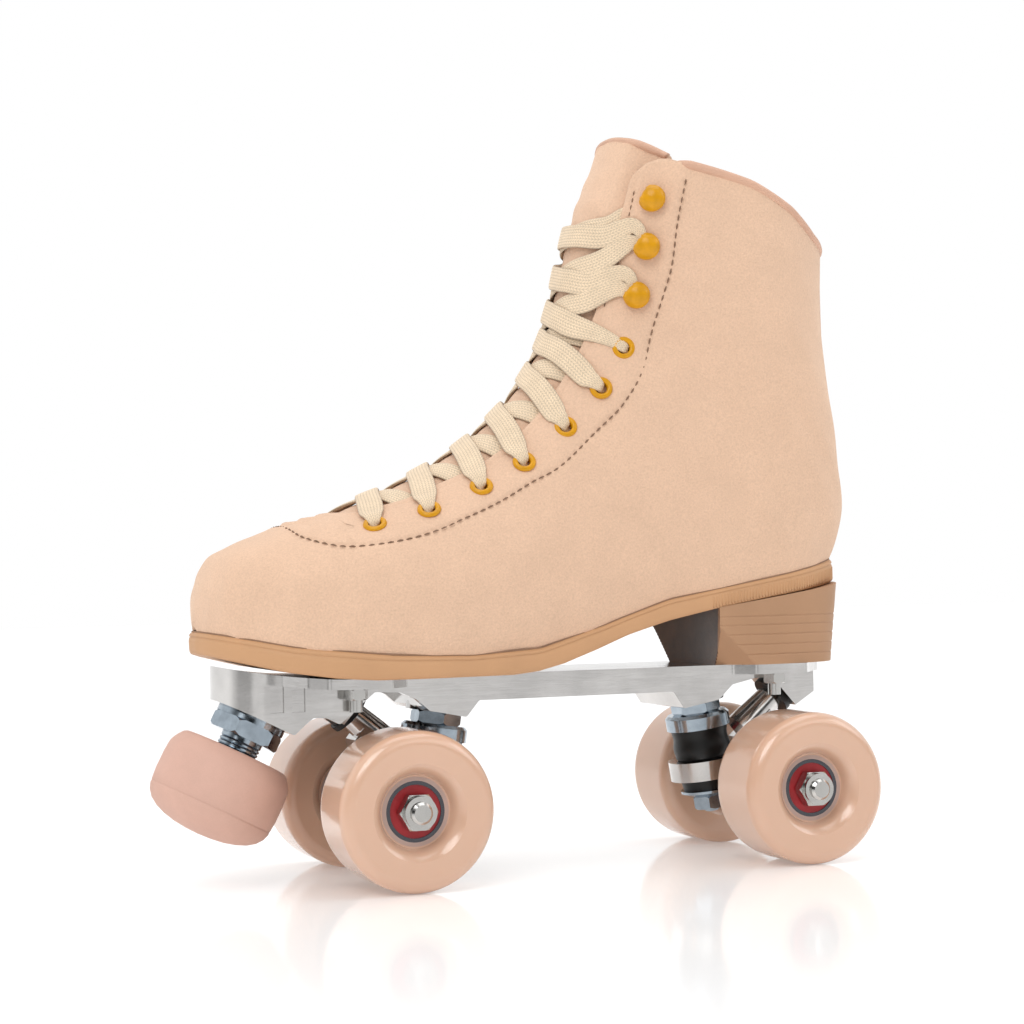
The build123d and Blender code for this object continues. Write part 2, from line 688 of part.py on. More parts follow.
def both_sides(local, distance):
    """Two alike pieces on an axle, one at each side of the truck."""
    pair = []
    for side in (1, -1):
        seat = Plane(origin=(AXLE_X, side * distance, AXLE_Z), x_dir=(1, 0, 0), z_dir=(0, side, 0))
        pair += (seat * local).solids()
    return pair


def kingpin():
    shank_top = BOSS_FACE + 11.5
    body = Pos(0, 0, HEAD_TOP) * Cylinder(KINGPIN_RADIUS, shank_top - HEAD_TOP,
                                          align=(Align.CENTER, Align.CENTER, Align.MIN))
    head = hexagon(KINGPIN_HEAD_ACROSS_FLATS, KINGPIN_HEAD_HEIGHT, 0.8)
    tip = Pos(0, 0, -1.4) * Cone(2.6, KINGPIN_RADIUS - 0.6, 1.4, align=(Align.CENTER, Align.CENTER,
        Align.MIN))
    return KINGPIN_FRAME * (body + Pos(0, 0, HEAD_TOP - KINGPIN_HEAD_HEIGHT) * (head + tip))


def jam_nut():
    nut = Pos(0, 0, NUT_BOTTOM) * Rot(0, 0, 30) * hexagon(JAM_NUT_ACROSS_FLATS, JAM_NUT_HEIGHT, 0.8)
    return KINGPIN_FRAME * (nut - Cylinder(KINGPIN_RADIUS, 100))


def upper_retainer():
    """Cup washer over the upper cushion."""
    outside = RETAINER_RADIUS
    top = NUT_BOTTOM
    return KINGPIN_FRAME * spun([
        (KINGPIN_RADIUS, CUSHION_TOP), (outside - RETAINER_WALL, CUSHION_TOP),
        (outside - RETAINER_WALL, RETAINER_BOTTOM),
        (outside, RETAINER_BOTTOM), (outside, top - 1.2), (outside - 1.2, top), (KINGPIN_RADIUS, top)])


def upper_cushion():
    return KINGPIN_FRAME * spun([
        (KINGPIN_RADIUS, HALF_RING), (UPPER_CUSHION_RADIUS, HALF_RING), (UPPER_CUSHION_RADIUS + 0.4,
        HALF_RING + 5),
        (UPPER_CUSHION_RADIUS, CUSHION_TOP), (KINGPIN_RADIUS, CUSHION_TOP)])


def lower_cushion():
    return KINGPIN_FRAME * spun([
        (KINGPIN_RADIUS, LOWER_CUSHION_BOTTOM), (LOWER_CUSHION_RADIUS - 1.2, LOWER_CUSHION_BOTTOM),
        (LOWER_CUSHION_RADIUS, -HALF_RING), (KINGPIN_RADIUS, -HALF_RING)])


def lower_retainer():
    outside = LOWER_RETAINER_RADIUS
    top = LOWER_CUSHION_BOTTOM + RETAINER_WALL
    inside = LOWER_CUSHION_RADIUS - 0.8
    return KINGPIN_FRAME * spun([
        (KINGPIN_RADIUS, HEAD_TOP), (outside - 3.0, HEAD_TOP), (outside, HEAD_TOP + 1.6), (outside,
        top),
        (inside, top), (inside, LOWER_CUSHION_BOTTOM), (KINGPIN_RADIUS, LOWER_CUSHION_BOTTOM)])


def pivot_cup():
    """Rubber cup pressed into the plate that the hanger's nose turns in."""
    start = PIVOT_REACH - CUP_LIP
    bore = PIVOT_NOSE_RADIUS + PIVOT_RUNNING_GAP
    return STEER_FRAME * spun([
        (bore, start), (CUP_RADIUS + 0.9, start), (CUP_RADIUS + 0.9, PIVOT_REACH), (CUP_RADIUS,
        PIVOT_REACH),
        (CUP_RADIUS, start + CUP_DEPTH), (0, start + CUP_DEPTH), (0, start + CUP_DEPTH - 1.6),
        (bore, start + CUP_DEPTH - 1.6)])


def export_truck(name, end):
    export(name + "_hanger", for_end(end, hanger()))
    export(name + "_axle", for_end(end, axle()))
    bearing_face = TRACK / 2 + WHEEL_WIDTH / 2 - BEARING_RECESS
    nuts = both_sides(axle_nut(), bearing_face)
    export(name + "_axle_nuts", for_end(end, Compound(children=nuts)))
    races = []
    for middle in bearing_middles():
        races += both_sides(inner_race(), TRACK / 2 + middle)
    export(name + "_bearing_inner_races", for_end(end, Compound(children=races)))
    export(name + "_kingpin", for_end(end, kingpin()))
    export(name + "_kingpin_jam_nut", for_end(end, jam_nut()))
    export(name + "_upper_retainer", for_end(end, upper_retainer()))
    export(name + "_upper_cushion", for_end(end, upper_cushion()))
    export(name + "_lower_cushion", for_end(end, lower_cushion()))
    export(name + "_lower_retainer", for_end(end, lower_retainer()))
    export(name + "_pivot_cup", for_end(end, pivot_cup()))


# ---------------------------------------------------------------- toe stop


STOP_DOWN = Vector(sin(radians(STOP_LEAN)), 0, -cos(radians(STOP_LEAN)))
STOP_FRAME = Plane(origin=(STOP_TOP_X, 0, STOP_TOP_Z), x_dir=(0, 1, 0), z_dir=STOP_DOWN * -1)


def toe_stop_rubber():
    """Rubber stop; local Z points up the stem, its top face is at zero."""
    bottom = -STOP_HEIGHT
    outline = [
        Line((0, 0, 0), (STOP_TOP_RADIUS, 0, 0)),
        Line((STOP_TOP_RADIUS, 0, 0), (STOP_RADIUS - 0.7, 0, -STOP_BEVEL)),
        Line((STOP_RADIUS - 0.7, 0, -STOP_BEVEL), (STOP_RADIUS, 0, bottom + STOP_CORNER)),
        rounded((STOP_RADIUS, bottom + STOP_CORNER), (STOP_RADIUS - STOP_CORNER, bottom),
                (STOP_RADIUS - STOP_CORNER, bottom + STOP_CORNER)),
        Line((STOP_RADIUS - STOP_CORNER, 0, bottom), (0, 0, bottom)),
        Line((0, 0, bottom), (0, 0, 0)),
    ]
    body = revolve(make_face([e.edge() for e in outline]), Axis.Z)
    body -= Pos(0, 0, -STEM_EMBEDDED / 2) * Cylinder(STEM_RADIUS, STEM_EMBEDDED)
    return STOP_FRAME * body


def toe_stop_stem():
    """Threaded steel stem moulded into the rubber."""
    stem = Pos(0, 0, -STEM_EMBEDDED) * Cylinder(STEM_RADIUS, STEM_EMBEDDED + STEM_UP,
                                                align=(Align.CENTER, Align.CENTER, Align.MIN))
    stem = chamfer(stem.edges().filter_by(GeomType.CIRCLE), 1.0)
    turns = int((STOP_FACE - STOP_NUT_BELOW_FACE) / STEM_THREAD_PITCH)
    for turn in range(turns):
        height = 0.9 + turn * STEM_THREAD_PITCH
        stem -= spun([(STEM_RADIUS - 0.55, height), (STEM_RADIUS + 0.1, height - 0.45),
            (STEM_RADIUS + 0.1, height + 0.45)])
    return STOP_FRAME * stem


def toe_stop_lock_nut():
    nut = hexagon(STOP_NUT_ACROSS_FLATS, STOP_NUT_BELOW_FACE - STOP_WASHER_THICKNESS, 1.0)
    nut -= Cylinder(STEM_RADIUS + STEM_RUNNING_GAP, 60)
    return STOP_FRAME * Pos(0, 0, STOP_FACE - STOP_NUT_BELOW_FACE) * Rot(0, 0, 90) * nut


def toe_stop_washer():
    return STOP_FRAME * ring(STOP_WASHER_RADIUS, STEM_RADIUS + STEM_RUNNING_GAP + 0.04,
        STOP_WASHER_THICKNESS,
                             STOP_FACE - STOP_WASHER_THICKNESS)


# ---------------------------------------------------------------- plate


def plate_top_face(drop):
    """Side view of the flange's top, lowered by drop, closed far above the boot's sole."""
    front = PLATE_FRONT + 4
    top = [
        Line((PLATE_REAR - 5, 0, PLATE_TOP - drop), (RAMP_START, 0, PLATE_TOP - drop)),
        ThreePointArc((RAMP_START, 0, PLATE_TOP - drop), (122, 0, 77.8 - drop),
                      (front, 0, RAMP_FRONT_Z + 0.9 - drop)),
        Line((front, 0, RAMP_FRONT_Z + 0.9 - drop), (front, 0, 140)),
        Line((front, 0, 140), (PLATE_REAR - 5, 0, 140)),
        Line((PLATE_REAR - 5, 0, 140), (PLATE_REAR - 5, 0, PLATE_TOP - drop)),
    ]
    face = make_face([e.edge() for e in top])
    return extrude(face, 80, dir=(0, 1, 0), both=True)


def flange():
    """The plate's flat top, widened where the mounting bolts pass."""
    corners = [(PLATE_FRONT, NOSE_RADIUS), (NOSE_CENTRE, NOSE_RADIUS), (112, FLANGE_HALF_WIDTH),
               (106, FLANGE_BOLT_HALF_WIDTH), (82, FLANGE_BOLT_HALF_WIDTH), (74, FLANGE_HALF_WIDTH),
               (-60, FLANGE_HALF_WIDTH), (-67, FLANGE_BOLT_HALF_WIDTH), (-89, FLANGE_BOLT_HALF_WIDTH),
               (-94, 24), (PLATE_REAR, 14)]
    outline = corners + [(x, -y) for x, y in reversed(corners)]
    slab = extrude(make_face(FilletPolyline(*outline, radius=2.5, close=True).edges()), 120)
    return slab & (plate_top_face(FLANGE) - plate_top_face(0))


SKIRT_OUTLINE = [
    (148, 84), (148, 72.6), (145.6, 70.8), (116.2, 55.8), (112, 59.6), (109, 61.9), (104, 61.6),
    (98.9, 59.1),
    (85.4, 70.4), (75.7, 70), (69.5, 67.4), (64.2, 62.8), (49.6, 59.8), (44.4, 65.9), (-36, 66.1),
    (-40.4, 59.4),
    (-55.7, 62.3), (-61.8, 68), (-71.5, 70.1), (-80, 70.6), (-84, 72.6), (-84, 84),
]


def plate():
    """Cast truck plate: flange, two skirts, and solid blocks that carry the fittings."""
    half = SKIRT_HALF_WIDTH
    middle = half - SKIRT_WALL / 2
    outline = make_face(FilletPolyline(*[(x, 0, z) for x, z in SKIRT_OUTLINE], radius=1.2,
        close=True).edges())
    full = extrude(outline, half, dir=(0, 1, 0), both=True)
    body = full & Pos(0, middle, 70) * Box(320, SKIRT_WALL, 60)
    body += full & Pos(0, -middle, 70) * Box(320, SKIRT_WALL, 60)
    for x_from, x_to in ((104, 150), (40, 66), (-66, -34)):
        body += full & Pos((x_from + x_to) / 2, 0, 70) * Box(x_to - x_from, 2 * half, 60)
    mouth = RING_CENTRE + STEER * PIVOT_REACH
    across_face = Vector(-STEER.Z, 0, STEER.X)
    low = mouth - across_face * 6.2
    high = mouth + across_face * 12.0
    nose_block = [(103, 84), (103, 63.5), (low.X, low.Z), (high.X, high.Z), (80, 76), (80, 84)]
    for end in (1, -1):
        body += for_end(end, side_polygon(nose_block, 10.5))
    boss = KINGPIN_FRAME * Pos(0, 0, BOSS_FACE) * Cylinder(12.0, 20, align=(Align.CENTER,
        Align.CENTER, Align.MIN))
    body += boss
    body += for_end(-1, boss)
    for side in (1, -1):
        body -= Pos(118.5, side * (half + 1.2), 70) * Box(13, 4, 11.5)
        body += Pos(118.5, side * (half - 1), 70) * Box(3.0, 2, 12)
    body -= plate_top_face(FLANGE / 2)
    body += flange()
    behind = Pos(NOSE_CENTRE - 150, 0, 80) * Box(300, 100, 120)
    body &= behind + Pos(NOSE_CENTRE, 0, 80) * Cylinder(NOSE_RADIUS, 120)
    stem_hole = STOP_FRAME * Pos(0, 0, STOP_FACE) * Cylinder(
        STEM_RADIUS + STEM_RUNNING_GAP, STOP_HOLE_DEPTH, align=(Align.CENTER, Align.CENTER, Align.MIN))
    body -= stem_hole
    cut_below = STOP_FRAME * Pos(0, 0, STOP_FACE - 20) * Cylinder(40, 20, align=(Align.CENTER,
        Align.CENTER, Align.MIN))
    body -= cut_below
    for end in (1, -1):
        shank = KINGPIN_FRAME * Pos(0, 0, BOSS_FACE) * Cylinder(
            KINGPIN_RADIUS, 11.5, align=(Align.CENTER, Align.CENTER, Align.MIN))
        below_boss = KINGPIN_FRAME * Pos(0, 0, BOSS_FACE - 10) * Cylinder(
            16, 10, align=(Align.CENTER, Align.CENTER, Align.MIN))
        cup = STEER_FRAME * Pos(0, 0, PIVOT_REACH - 4) * Cylinder(
            CUP_RADIUS, CUP_DEPTH - CUP_LIP + 4, align=(Align.CENTER, Align.CENTER, Align.MIN))
        lip = STEER_FRAME * Pos(0, 0, PIVOT_REACH - 9) * Cylinder(
            CUP_RADIUS + 3, 9, align=(Align.CENTER, Align.CENTER, Align.MIN))
        for tool in (shank, below_boss, cup, lip):
            body -= for_end(end, tool)
    return body - bolt_holes(MOUNT_BOLT_RADIUS)


def mounting_bolts():
    group = []
    for x, y in bolt_places():
        top = bolt_seat_z(x)
        bottom = PLATE_TOP - FLANGE - MOUNT_NUT_HEIGHT - 4.5
        shank = Pos(x, y, bottom) * Cylinder(MOUNT_BOLT_RADIUS, top - bottom,
                                             align=(Align.CENTER, Align.CENTER, Align.MIN))
        head = Pos(x, y, top - BOLT_HEAD_HEIGHT) * Cylinder(
            BOLT_HEAD_RADIUS, BOLT_HEAD_HEIGHT, align=(Align.CENTER, Align.CENTER, Align.MIN))
        group += (shank + head).solids()
    return Compound(children=group)


def mounting_nuts():
    group = []
    for x, y in bolt_places():
        nut = hexagon(MOUNT_NUT_ACROSS_FLATS, MOUNT_NUT_HEIGHT, 0.5) - Cylinder(MOUNT_BOLT_RADIUS, 20)
        group += (Pos(x, y, PLATE_TOP - FLANGE - MOUNT_NUT_HEIGHT) * nut).solids()
    return Compound(children=group)


# ---------------------------------------------------------------- write the sub-parts


def main():
    os.makedirs("parts", exist_ok=True)
    export("plate", plate())
    export("mounting_bolts", mounting_bolts())
    export("mounting_nuts", mounting_nuts())
    for end_name, end in (("front", 1), ("rear", -1)):
        export_truck(end_name, end)
        for side_name, side in (("left", 1), ("right", -1)):
            export_wheel(end_name + "_" + side_name, end, side)
    export("toe_stop_rubber", toe_stop_rubber())
    export("toe_stop_stem", toe_stop_stem())
    export("toe_stop_lock_nut", toe_stop_lock_nut())
    export("toe_stop_washer", toe_stop_washer())
    export("outsole", outsole())
    export("heel", heel())
    export("insole", insole())
    export("upper_shell", upper_shell())
    export("lining", lining())
    export("tongue", tongue())
    export("collar_binding", collar_binding())
    export("back_piping", back_piping())
    export("eyelets", eyelets())
    export("hooks", hooks())
    export("lace", lace_straps())


main()
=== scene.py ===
from math import cos, pi, radians, sin

import bmesh
import bpy
import numpy as np
from mathutils import Matrix, Vector


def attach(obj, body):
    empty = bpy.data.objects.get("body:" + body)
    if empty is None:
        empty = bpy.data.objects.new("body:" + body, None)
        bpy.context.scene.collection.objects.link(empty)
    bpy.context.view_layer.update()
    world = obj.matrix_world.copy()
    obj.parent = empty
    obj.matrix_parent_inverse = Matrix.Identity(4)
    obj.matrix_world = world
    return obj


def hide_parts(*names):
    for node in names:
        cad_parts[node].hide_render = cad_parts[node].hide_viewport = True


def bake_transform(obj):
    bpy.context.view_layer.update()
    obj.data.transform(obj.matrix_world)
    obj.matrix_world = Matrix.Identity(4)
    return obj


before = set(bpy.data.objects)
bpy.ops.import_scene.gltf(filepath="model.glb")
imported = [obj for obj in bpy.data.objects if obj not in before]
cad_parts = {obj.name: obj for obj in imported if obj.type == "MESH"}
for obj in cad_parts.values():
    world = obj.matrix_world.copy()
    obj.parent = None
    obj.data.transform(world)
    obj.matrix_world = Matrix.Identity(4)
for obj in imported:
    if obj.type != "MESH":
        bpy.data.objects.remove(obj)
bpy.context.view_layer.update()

MM = 0.001
BOOT = "plate_and_boot"
UP = np.array([0.0, 0.0, 1.0])

# ---------------------------------------------------------------- boot surface
# One row per cross-section, toe to collar: top x, top z, bottom x, bottom z, half width,
# shift to +Y, squareness below, squareness above, height of the widest place.  Millimetres.
SECTIONS = np.array([
    (147.0, 104.5, 146.0, 88.0, 5.0, -5.0, 2.0, 2.0, 0.55),
    (144.6, 113.5, 143.2, 86.0, 17.5, -5.0, 2.6, 2.0, 0.55),
    (138.0, 123.0, 136.5, 84.0, 29.0, -4.5, 3.2, 2.1, 0.50),
    (120.0, 130.8, 122.0, 80.5, 39.5, -3.0, 4.0, 2.2, 0.42),
    (94.0, 138.0, 97.0, 77.5, 45.5, -0.5, 4.2, 2.2, 0.40),
    (67.0, 148.5, 70.0, 76.0, 46.5, 1.0, 4.2, 2.1, 0.38),
    (42.0, 163.0, 38.0, 76.0, 42.5, 1.5, 4.0, 2.0, 0.38),
    (22.0, 181.0, 6.0, 81.0, 37.5, 1.0, 3.6, 2.0, 0.40),
    (9.0, 200.0, -28.0, 92.0, 34.0, 0.0, 4.6, 2.1, 0.42),
    (2.0, 219.0, -78.0, 101.0, 33.0, 0.0, 6.0, 2.2, 0.46),
    (-1.5, 234.0, -105.5, 107.0, 33.5, 0.0, 2.9, 2.2, 0.50),
    (-5.0, 246.0, -119.0, 132.0, 36.0, 0.0, 2.1, 2.2, 0.50),
    (-8.5, 259.0, -117.3, 160.0, 38.5, 0.0, 1.95, 2.2, 0.50),
    (-13.5, 274.0, -113.2, 205.0, 40.0, 0.0, 1.75, 2.2, 0.50),
    (-21.0, 297.0, -113.0, 262.0, 41.5, 0.0, 1.70, 2.2, 0.50),
])


def section_at(s):
    """Rows of SECTIONS blended smoothly for any station s (array)."""
    s = np.clip(np.asarray(s, float), 0.0, len(SECTIONS) - 1.0)
    k = np.minimum(s.astype(int), len(SECTIONS) - 2)
    t = (s - k)[..., None]
    near = [SECTIONS[np.clip(k + j, 0, len(SECTIONS) - 1)] for j in (-1, 0, 1, 2)]
    return (
        near[0] * (-t + 2 * t**2 - t**3) / 2
        + near[1] * (2 - 5 * t**2 + 3 * t**3) / 2
        + near[2] * (t + 4 * t**2 - 3 * t**3) / 2
        + near[3] * (-(t**2) + t**3) / 2
    )


def surface(s, v, inset=0.0):
    """Points on the boot: s runs toe to collar, v is 0 on the instep and +-1 underneath or behind."""
    s, v, inset = np.broadcast_arrays(np.asarray(s, float), np.asarray(v, float), np.asarray(inset, float))
    row = section_at(s)
    tx, tz, bx, bz, half, shift, low, high, widest = [row[..., i] for i in range(9)]
    length = np.hypot(tx - bx, tz - bz)
    waist = widest * length
    angle = pi / 2 - pi * np.clip(np.abs(v), 0, 1)
    up = angle >= 0
    power = np.where(up, 2 / high, 2 / low)
    rise = np.abs(np.sin(angle)) ** power
    along = np.where(up, waist + (length - waist - inset) * rise, waist - (waist - inset) * rise)
    out = np.sign(v) * np.maximum(half - inset, 1.0) * np.abs(np.cos(angle)) ** power
    x = bx + (tx - bx) / length * along - inset * np.maximum(0, 1 - s / 4)
    z = bz + (tz - bz) / length * along
    return np.stack([x, shift + out, z], -1)


def unit(a):
    """Directions of length one."""
    return a / np.maximum(np.linalg.norm(a, axis=-1, keepdims=True), 1e-9)


def surface_normal(s, v):
    """Outward direction of the boot's surface."""
    ds, dv = 0.03, 0.012
    along = surface(np.asarray(s) + ds, v) - surface(np.asarray(s) - ds, v)
    across = surface(s, np.asarray(v) + dv) - surface(s, np.asarray(v) - dv)
    return unit(np.cross(along, across)) * -1.0


def on_boot(s, v, height):
    """Points at a height above the boot's surface."""
    s, v, height = np.broadcast_arrays(np.asarray(s, float), np.asarray(v, float), np.asarray(height, float))
    return surface(s, v) + surface_normal(s, v) * height[..., None]


def smooth_line(points, count):
    """A smooth curve through a few points, as count evenly spaced rows."""
    p = np.asarray(points, float)
    n = len(p)
    dense = []
    for i in range(n - 1):
        a, b, c, d = p[max(i - 1, 0)], p[i], p[i + 1], p[min(i + 2, n - 1)]
        for t in np.linspace(0, 1, 24, endpoint=False):
            dense.append(0.5 * (2 * b + (c - a) * t + (2 * a - 5 * b + 4 * c - d) * t**2
                                + (3 * b - a - 3 * c + d) * t**3))
    dense.append(p[-1])
    return evenly(np.array(dense), count)


def evenly(line, count):
    """A line resampled to count rows the same distance apart."""
    step = np.linalg.norm(np.diff(line[:, :3], axis=0), axis=1)
    length = np.concatenate([[0], np.cumsum(step)])
    where = np.linspace(0, length[-1], count)
    return np.stack([np.interp(where, length, line[:, i]) for i in range(line.shape[1])], -1)


def along_length(line):
    """Distance run along a line at each of its points."""
    return np.concatenate([[0], np.cumsum(np.linalg.norm(np.diff(line, axis=0), axis=1))])


# Edges drawn on the boot, as (station, turn) pairs.
THROAT = ((3.86, 0.0), (3.90, 0.05), (4.02, 0.088), (4.3, 0.12), (4.8, 0.145), (5.8, 0.165),
          (7.0, 0.18), (8.5, 0.188), (12.6, 0.188), (14.0, 0.188))
# The collar and the sole's top edge, seen from the side as (x, z).
COLLAR_SIDE = ((-140, 229.5), (-112, 239.5), (-98, 244.5), (-84, 253), (-64, 262), (-40, 269.5),
               (-24, 274.5), (-10, 277), (40, 283))
SOLE_SIDE = ((-122, 118.7), (-80, 110.7), (-30, 102), (-2, 93), (26, 85.2), (55, 83.6), (85, 84.5),
             (120, 88.2), (154, 95.2))
# The eyestay's outer seam, the eyelets and the hooks, as (station, turn).
EYESTAY = ((13.25, 0.338), (12.45, 0.331), (11.75, 0.331), (10.9, 0.325), (9.95, 0.331), (9.15, 0.344),
           (8.65, 0.350), (8.25, 0.350), (7.1, 0.331), (6.55, 0.312), (6.0, 0.306), (5.45, 0.306),
           (5.1, 0.312), (4.6, 0.312), (4.05, 0.300), (3.65, 0.269), (3.32, 0.194), (3.22, 0.10), (3.20, 0.0))
EYELETS = ((4.25, 0.222), (5.0, 0.236), (5.8, 0.24), (6.55, 0.256), (7.45, 0.275), (8.35, 0.292),
           (9.15, 0.288))
HOOKS = ((10.4, 0.275), (11.65, 0.269), (12.65, 0.263))


def throat_edge(s):
    """Turn at which the lacing gap's edge lies, at each station."""
    return np.interp(s, [a for a, b in THROAT], [b for a, b in THROAT], left=0.0)


def station_where(test, v, low, high):
    """The station between low and high at which test(place) turns from negative to positive, for each v."""
    low, high = np.full_like(v, low, dtype=float), np.full_like(v, high, dtype=float)
    for _ in range(30):
        middle = (low + high) / 2
        over = test(surface(middle, v)) > 0
        high = np.where(over, middle, high)
        low = np.where(over, low, middle)
    return (low + high) / 2


def side_height(line):
    """A test of how far a place lies above a line drawn on the side view."""
    x, z = np.array(line).T
    return lambda place: place[..., 2] - np.interp(place[..., 0], x, z)


COLLAR_V = np.linspace(0.30, 1.0, 60)
COLLAR_S = station_where(side_height(COLLAR_SIDE), COLLAR_V, 11.0, 14.0)
CORNER = [(0.188, -0.62), (0.192, -0.46), (0.205, -0.30), (0.225, -0.17), (0.26, -0.05), (0.285, -0.01)]
COLLAR = [(v, COLLAR_S[0] + ds) for v, ds in CORNER] + list(zip(COLLAR_V, COLLAR_S))


def collar_line(v):
    """Station of the collar's top edge at each turn."""
    return np.interp(np.abs(v), [a for a, b in COLLAR], [b for a, b in COLLAR])


FEATHER_S = np.linspace(0.0, 10.45, 150)


def feather_rows():
    """Where the sole's top edge crosses each station."""
    above = side_height(SOLE_SIDE)
    rows = []
    for s in FEATHER_S:
        v = np.linspace(0.5, 1.0, 400)
        under = above(surface(s, v)) < 0
        rows.append(v[under][0] if under.any() else 1.0)
    return np.array(rows)


FEATHER_V = feather_rows()


def feather_line(s):
    """Turn at which the upper meets the sole, at each station."""
    return np.interp(s, FEATHER_S, FEATHER_V)


# ---------------------------------------------------------------- meshes


def make(name, points, faces, finish, body=BOOT):
    """A mesh object from points in millimetres, riding on a body."""
    mesh = bpy.data.meshes.new(name)
    mesh.from_pydata((np.asarray(points) * MM).tolist(), [], [tuple(map(int, f)) for f in faces])
    mesh.update()
    mesh.shade_smooth()
    piece = bpy.data.objects.new(name, mesh)
    bpy.context.scene.collection.objects.link(piece)
    mesh.materials.append(finish)
    if body:
        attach(piece, body)
    return piece


def grid_faces(rows, columns, start=0, closed=False, flip=False):
    """Quads between neighbouring points of a grid."""
    faces = []
    last = columns if closed else columns - 1
    for i in range(rows - 1):
        for j in range(last):
            k = (j + 1) % columns
            quad = (start + i * columns + j, start + i * columns + k,
                    start + (i + 1) * columns + k, start + (i + 1) * columns + j)
            faces.append(quad[::-1] if flip else quad)
    return faces


def weld(piece, distance=0.02):
    """Joins points that lie on top of each other."""
    work = bmesh.new()
    work.from_mesh(piece.data)
    bmesh.ops.remove_doubles(work, verts=work.verts, dist=distance * MM)
    bmesh.ops.dissolve_degenerate(work, edges=work.edges, dist=1e-7)
    bmesh.ops.recalc_face_normals(work, faces=work.faces)
    work.to_mesh(piece.data)
    work.free()
    piece.data.shade_smooth()


def thicken(piece, thickness):
    """Gives a sheet its thickness on the inner side."""
    shell = piece.modifiers.new("Thickness", "SOLIDIFY")
    shell.thickness = thickness * MM
    shell.offset = -1.0
    shell.use_quality_normals = True


def soften(piece, width):
    """Small rounded edges on a hard part."""
    edge = piece.modifiers.new("Edges", "BEVEL")
    edge.width = width * MM
    edge.segments = 3
    edge.limit_method = "ANGLE"
    edge.angle_limit = radians(30)
    edge.harden_normals = False


def sweep(name, path, normals, outline, finish, widths=None, closed=False):
    """An outline of (across, up) points carried along a path; widths scale it at each row."""
    path, normals = np.asarray(path), unit(np.asarray(normals))
    if closed:
        tangent = unit(np.roll(path, -1, 0) - np.roll(path, 1, 0))
    else:
        tangent = unit(np.gradient(path, axis=0))
    across = unit(np.cross(tangent, normals))
    up = np.cross(across, tangent)
    outline = np.asarray(outline, float)
    outline = np.broadcast_to(outline, (len(path), *outline.shape))
    if widths is not None:
        outline = outline * np.asarray(widths)[:, None, :]
    points = (path[:, None, :] + across[:, None, :] * outline[..., :1] + up[:, None, :] * outline[..., 1:2])
    rows, columns = points.shape[:2]
    faces = grid_faces(rows, columns, closed=True)
    if closed:
        last = (rows - 1) * columns
        faces += [(last + j, last + (j + 1) % columns, (j + 1) % columns, j) for j in range(columns)]
    else:
        faces.append(tuple(range(columns))[::-1])
        faces.append(tuple((rows - 1) * columns + j for j in range(columns)))
    return make(name, points.reshape(-1, 3), faces, finish)


def ellipse(width, height, count=14):
    """An oval outline for a swept cord."""
    return [(width * cos(2 * pi * i / count), height * sin(2 * pi * i / count)) for i in range(count)]


def lathe(profile, count=48):
    """Points and faces of a turned shape about local Z from (radius, height) pairs."""
    profile = np.asarray(profile, float)
    angle = np.linspace(0, 2 * pi, count, endpoint=False)
    points = np.stack([profile[:, None, 0] * np.cos(angle), profile[:, None, 0] * np.sin(angle),
                       np.broadcast_to(profile[:, None, 1], (len(profile), count))], -1)
    return points.reshape(-1, 3), grid_faces(len(profile), count, closed=True)


def placed(points, origin, normal, forward):
    """Local points moved so that local Z follows normal and local X follows forward."""
    z = unit(np.asarray(normal))
    x = unit(np.asarray(forward) - z * np.dot(forward, z))
    y = np.cross(z, x)
    return np.asarray(origin) + points @ np.stack([x, y, z])


def joined(name, parts, finish):
    """Several (points, faces) shapes as one object."""
    points, faces, start = [], [], 0
    for p, f in parts:
        points.append(np.asarray(p))
        faces += [tuple(start + i for i in face) for face in f]
        start += len(p)
    return make(name, np.concatenate(points), faces, finish)


# ---------------------------------------------------------------- finishes


def node(tree, kind, inputs=None, **settings):
    """A shader node; inputs may be values or other nodes' outputs."""
    made = tree.nodes.new(kind)
    for key, value in settings.items():
        setattr(made, key, value)
    for key, value in (inputs or {}).items():
        if isinstance(value, bpy.types.NodeSocket):
            tree.links.new(value, made.inputs[key])
        else:
            made.inputs[key].default_value = value
    return made


def shade(colour, factor):
    """A colour made lighter or darker."""
    return tuple(min(max(c * factor, 0), 1) for c in colour[:3]) + (1,)


def noise(tree, where, size, detail=4, rough=0.55):
    """Noise whose features are about size millimetres across."""
    return node(tree, "ShaderNodeTexNoise", {"Vector": where, "Scale": 1000.0 / size, "Detail": detail,
                                             "Roughness": rough}).outputs["Fac"]


def mixed(tree, factor, a, b):
    """One colour blended into another by a factor."""
    mix = node(tree, "ShaderNodeMix", data_type="RGBA", clamp_factor=True)
    for slot, value in ((mix.inputs[0], factor), (mix.inputs[6], a), (mix.inputs[7], b)):
        if isinstance(value, bpy.types.NodeSocket):
            tree.links.new(value, slot)
        else:
            slot.default_value = value
    return mix.outputs[2]


def ranged(tree, value, low, high, from_low=0.3, from_high=0.7):
    """A value carried from one range to another."""
    return node(tree, "ShaderNodeMapRange", {"Value": value, "From Min": from_low, "From Max": from_high,
                                             "To Min": low, "To Max": high}).outputs["Result"]


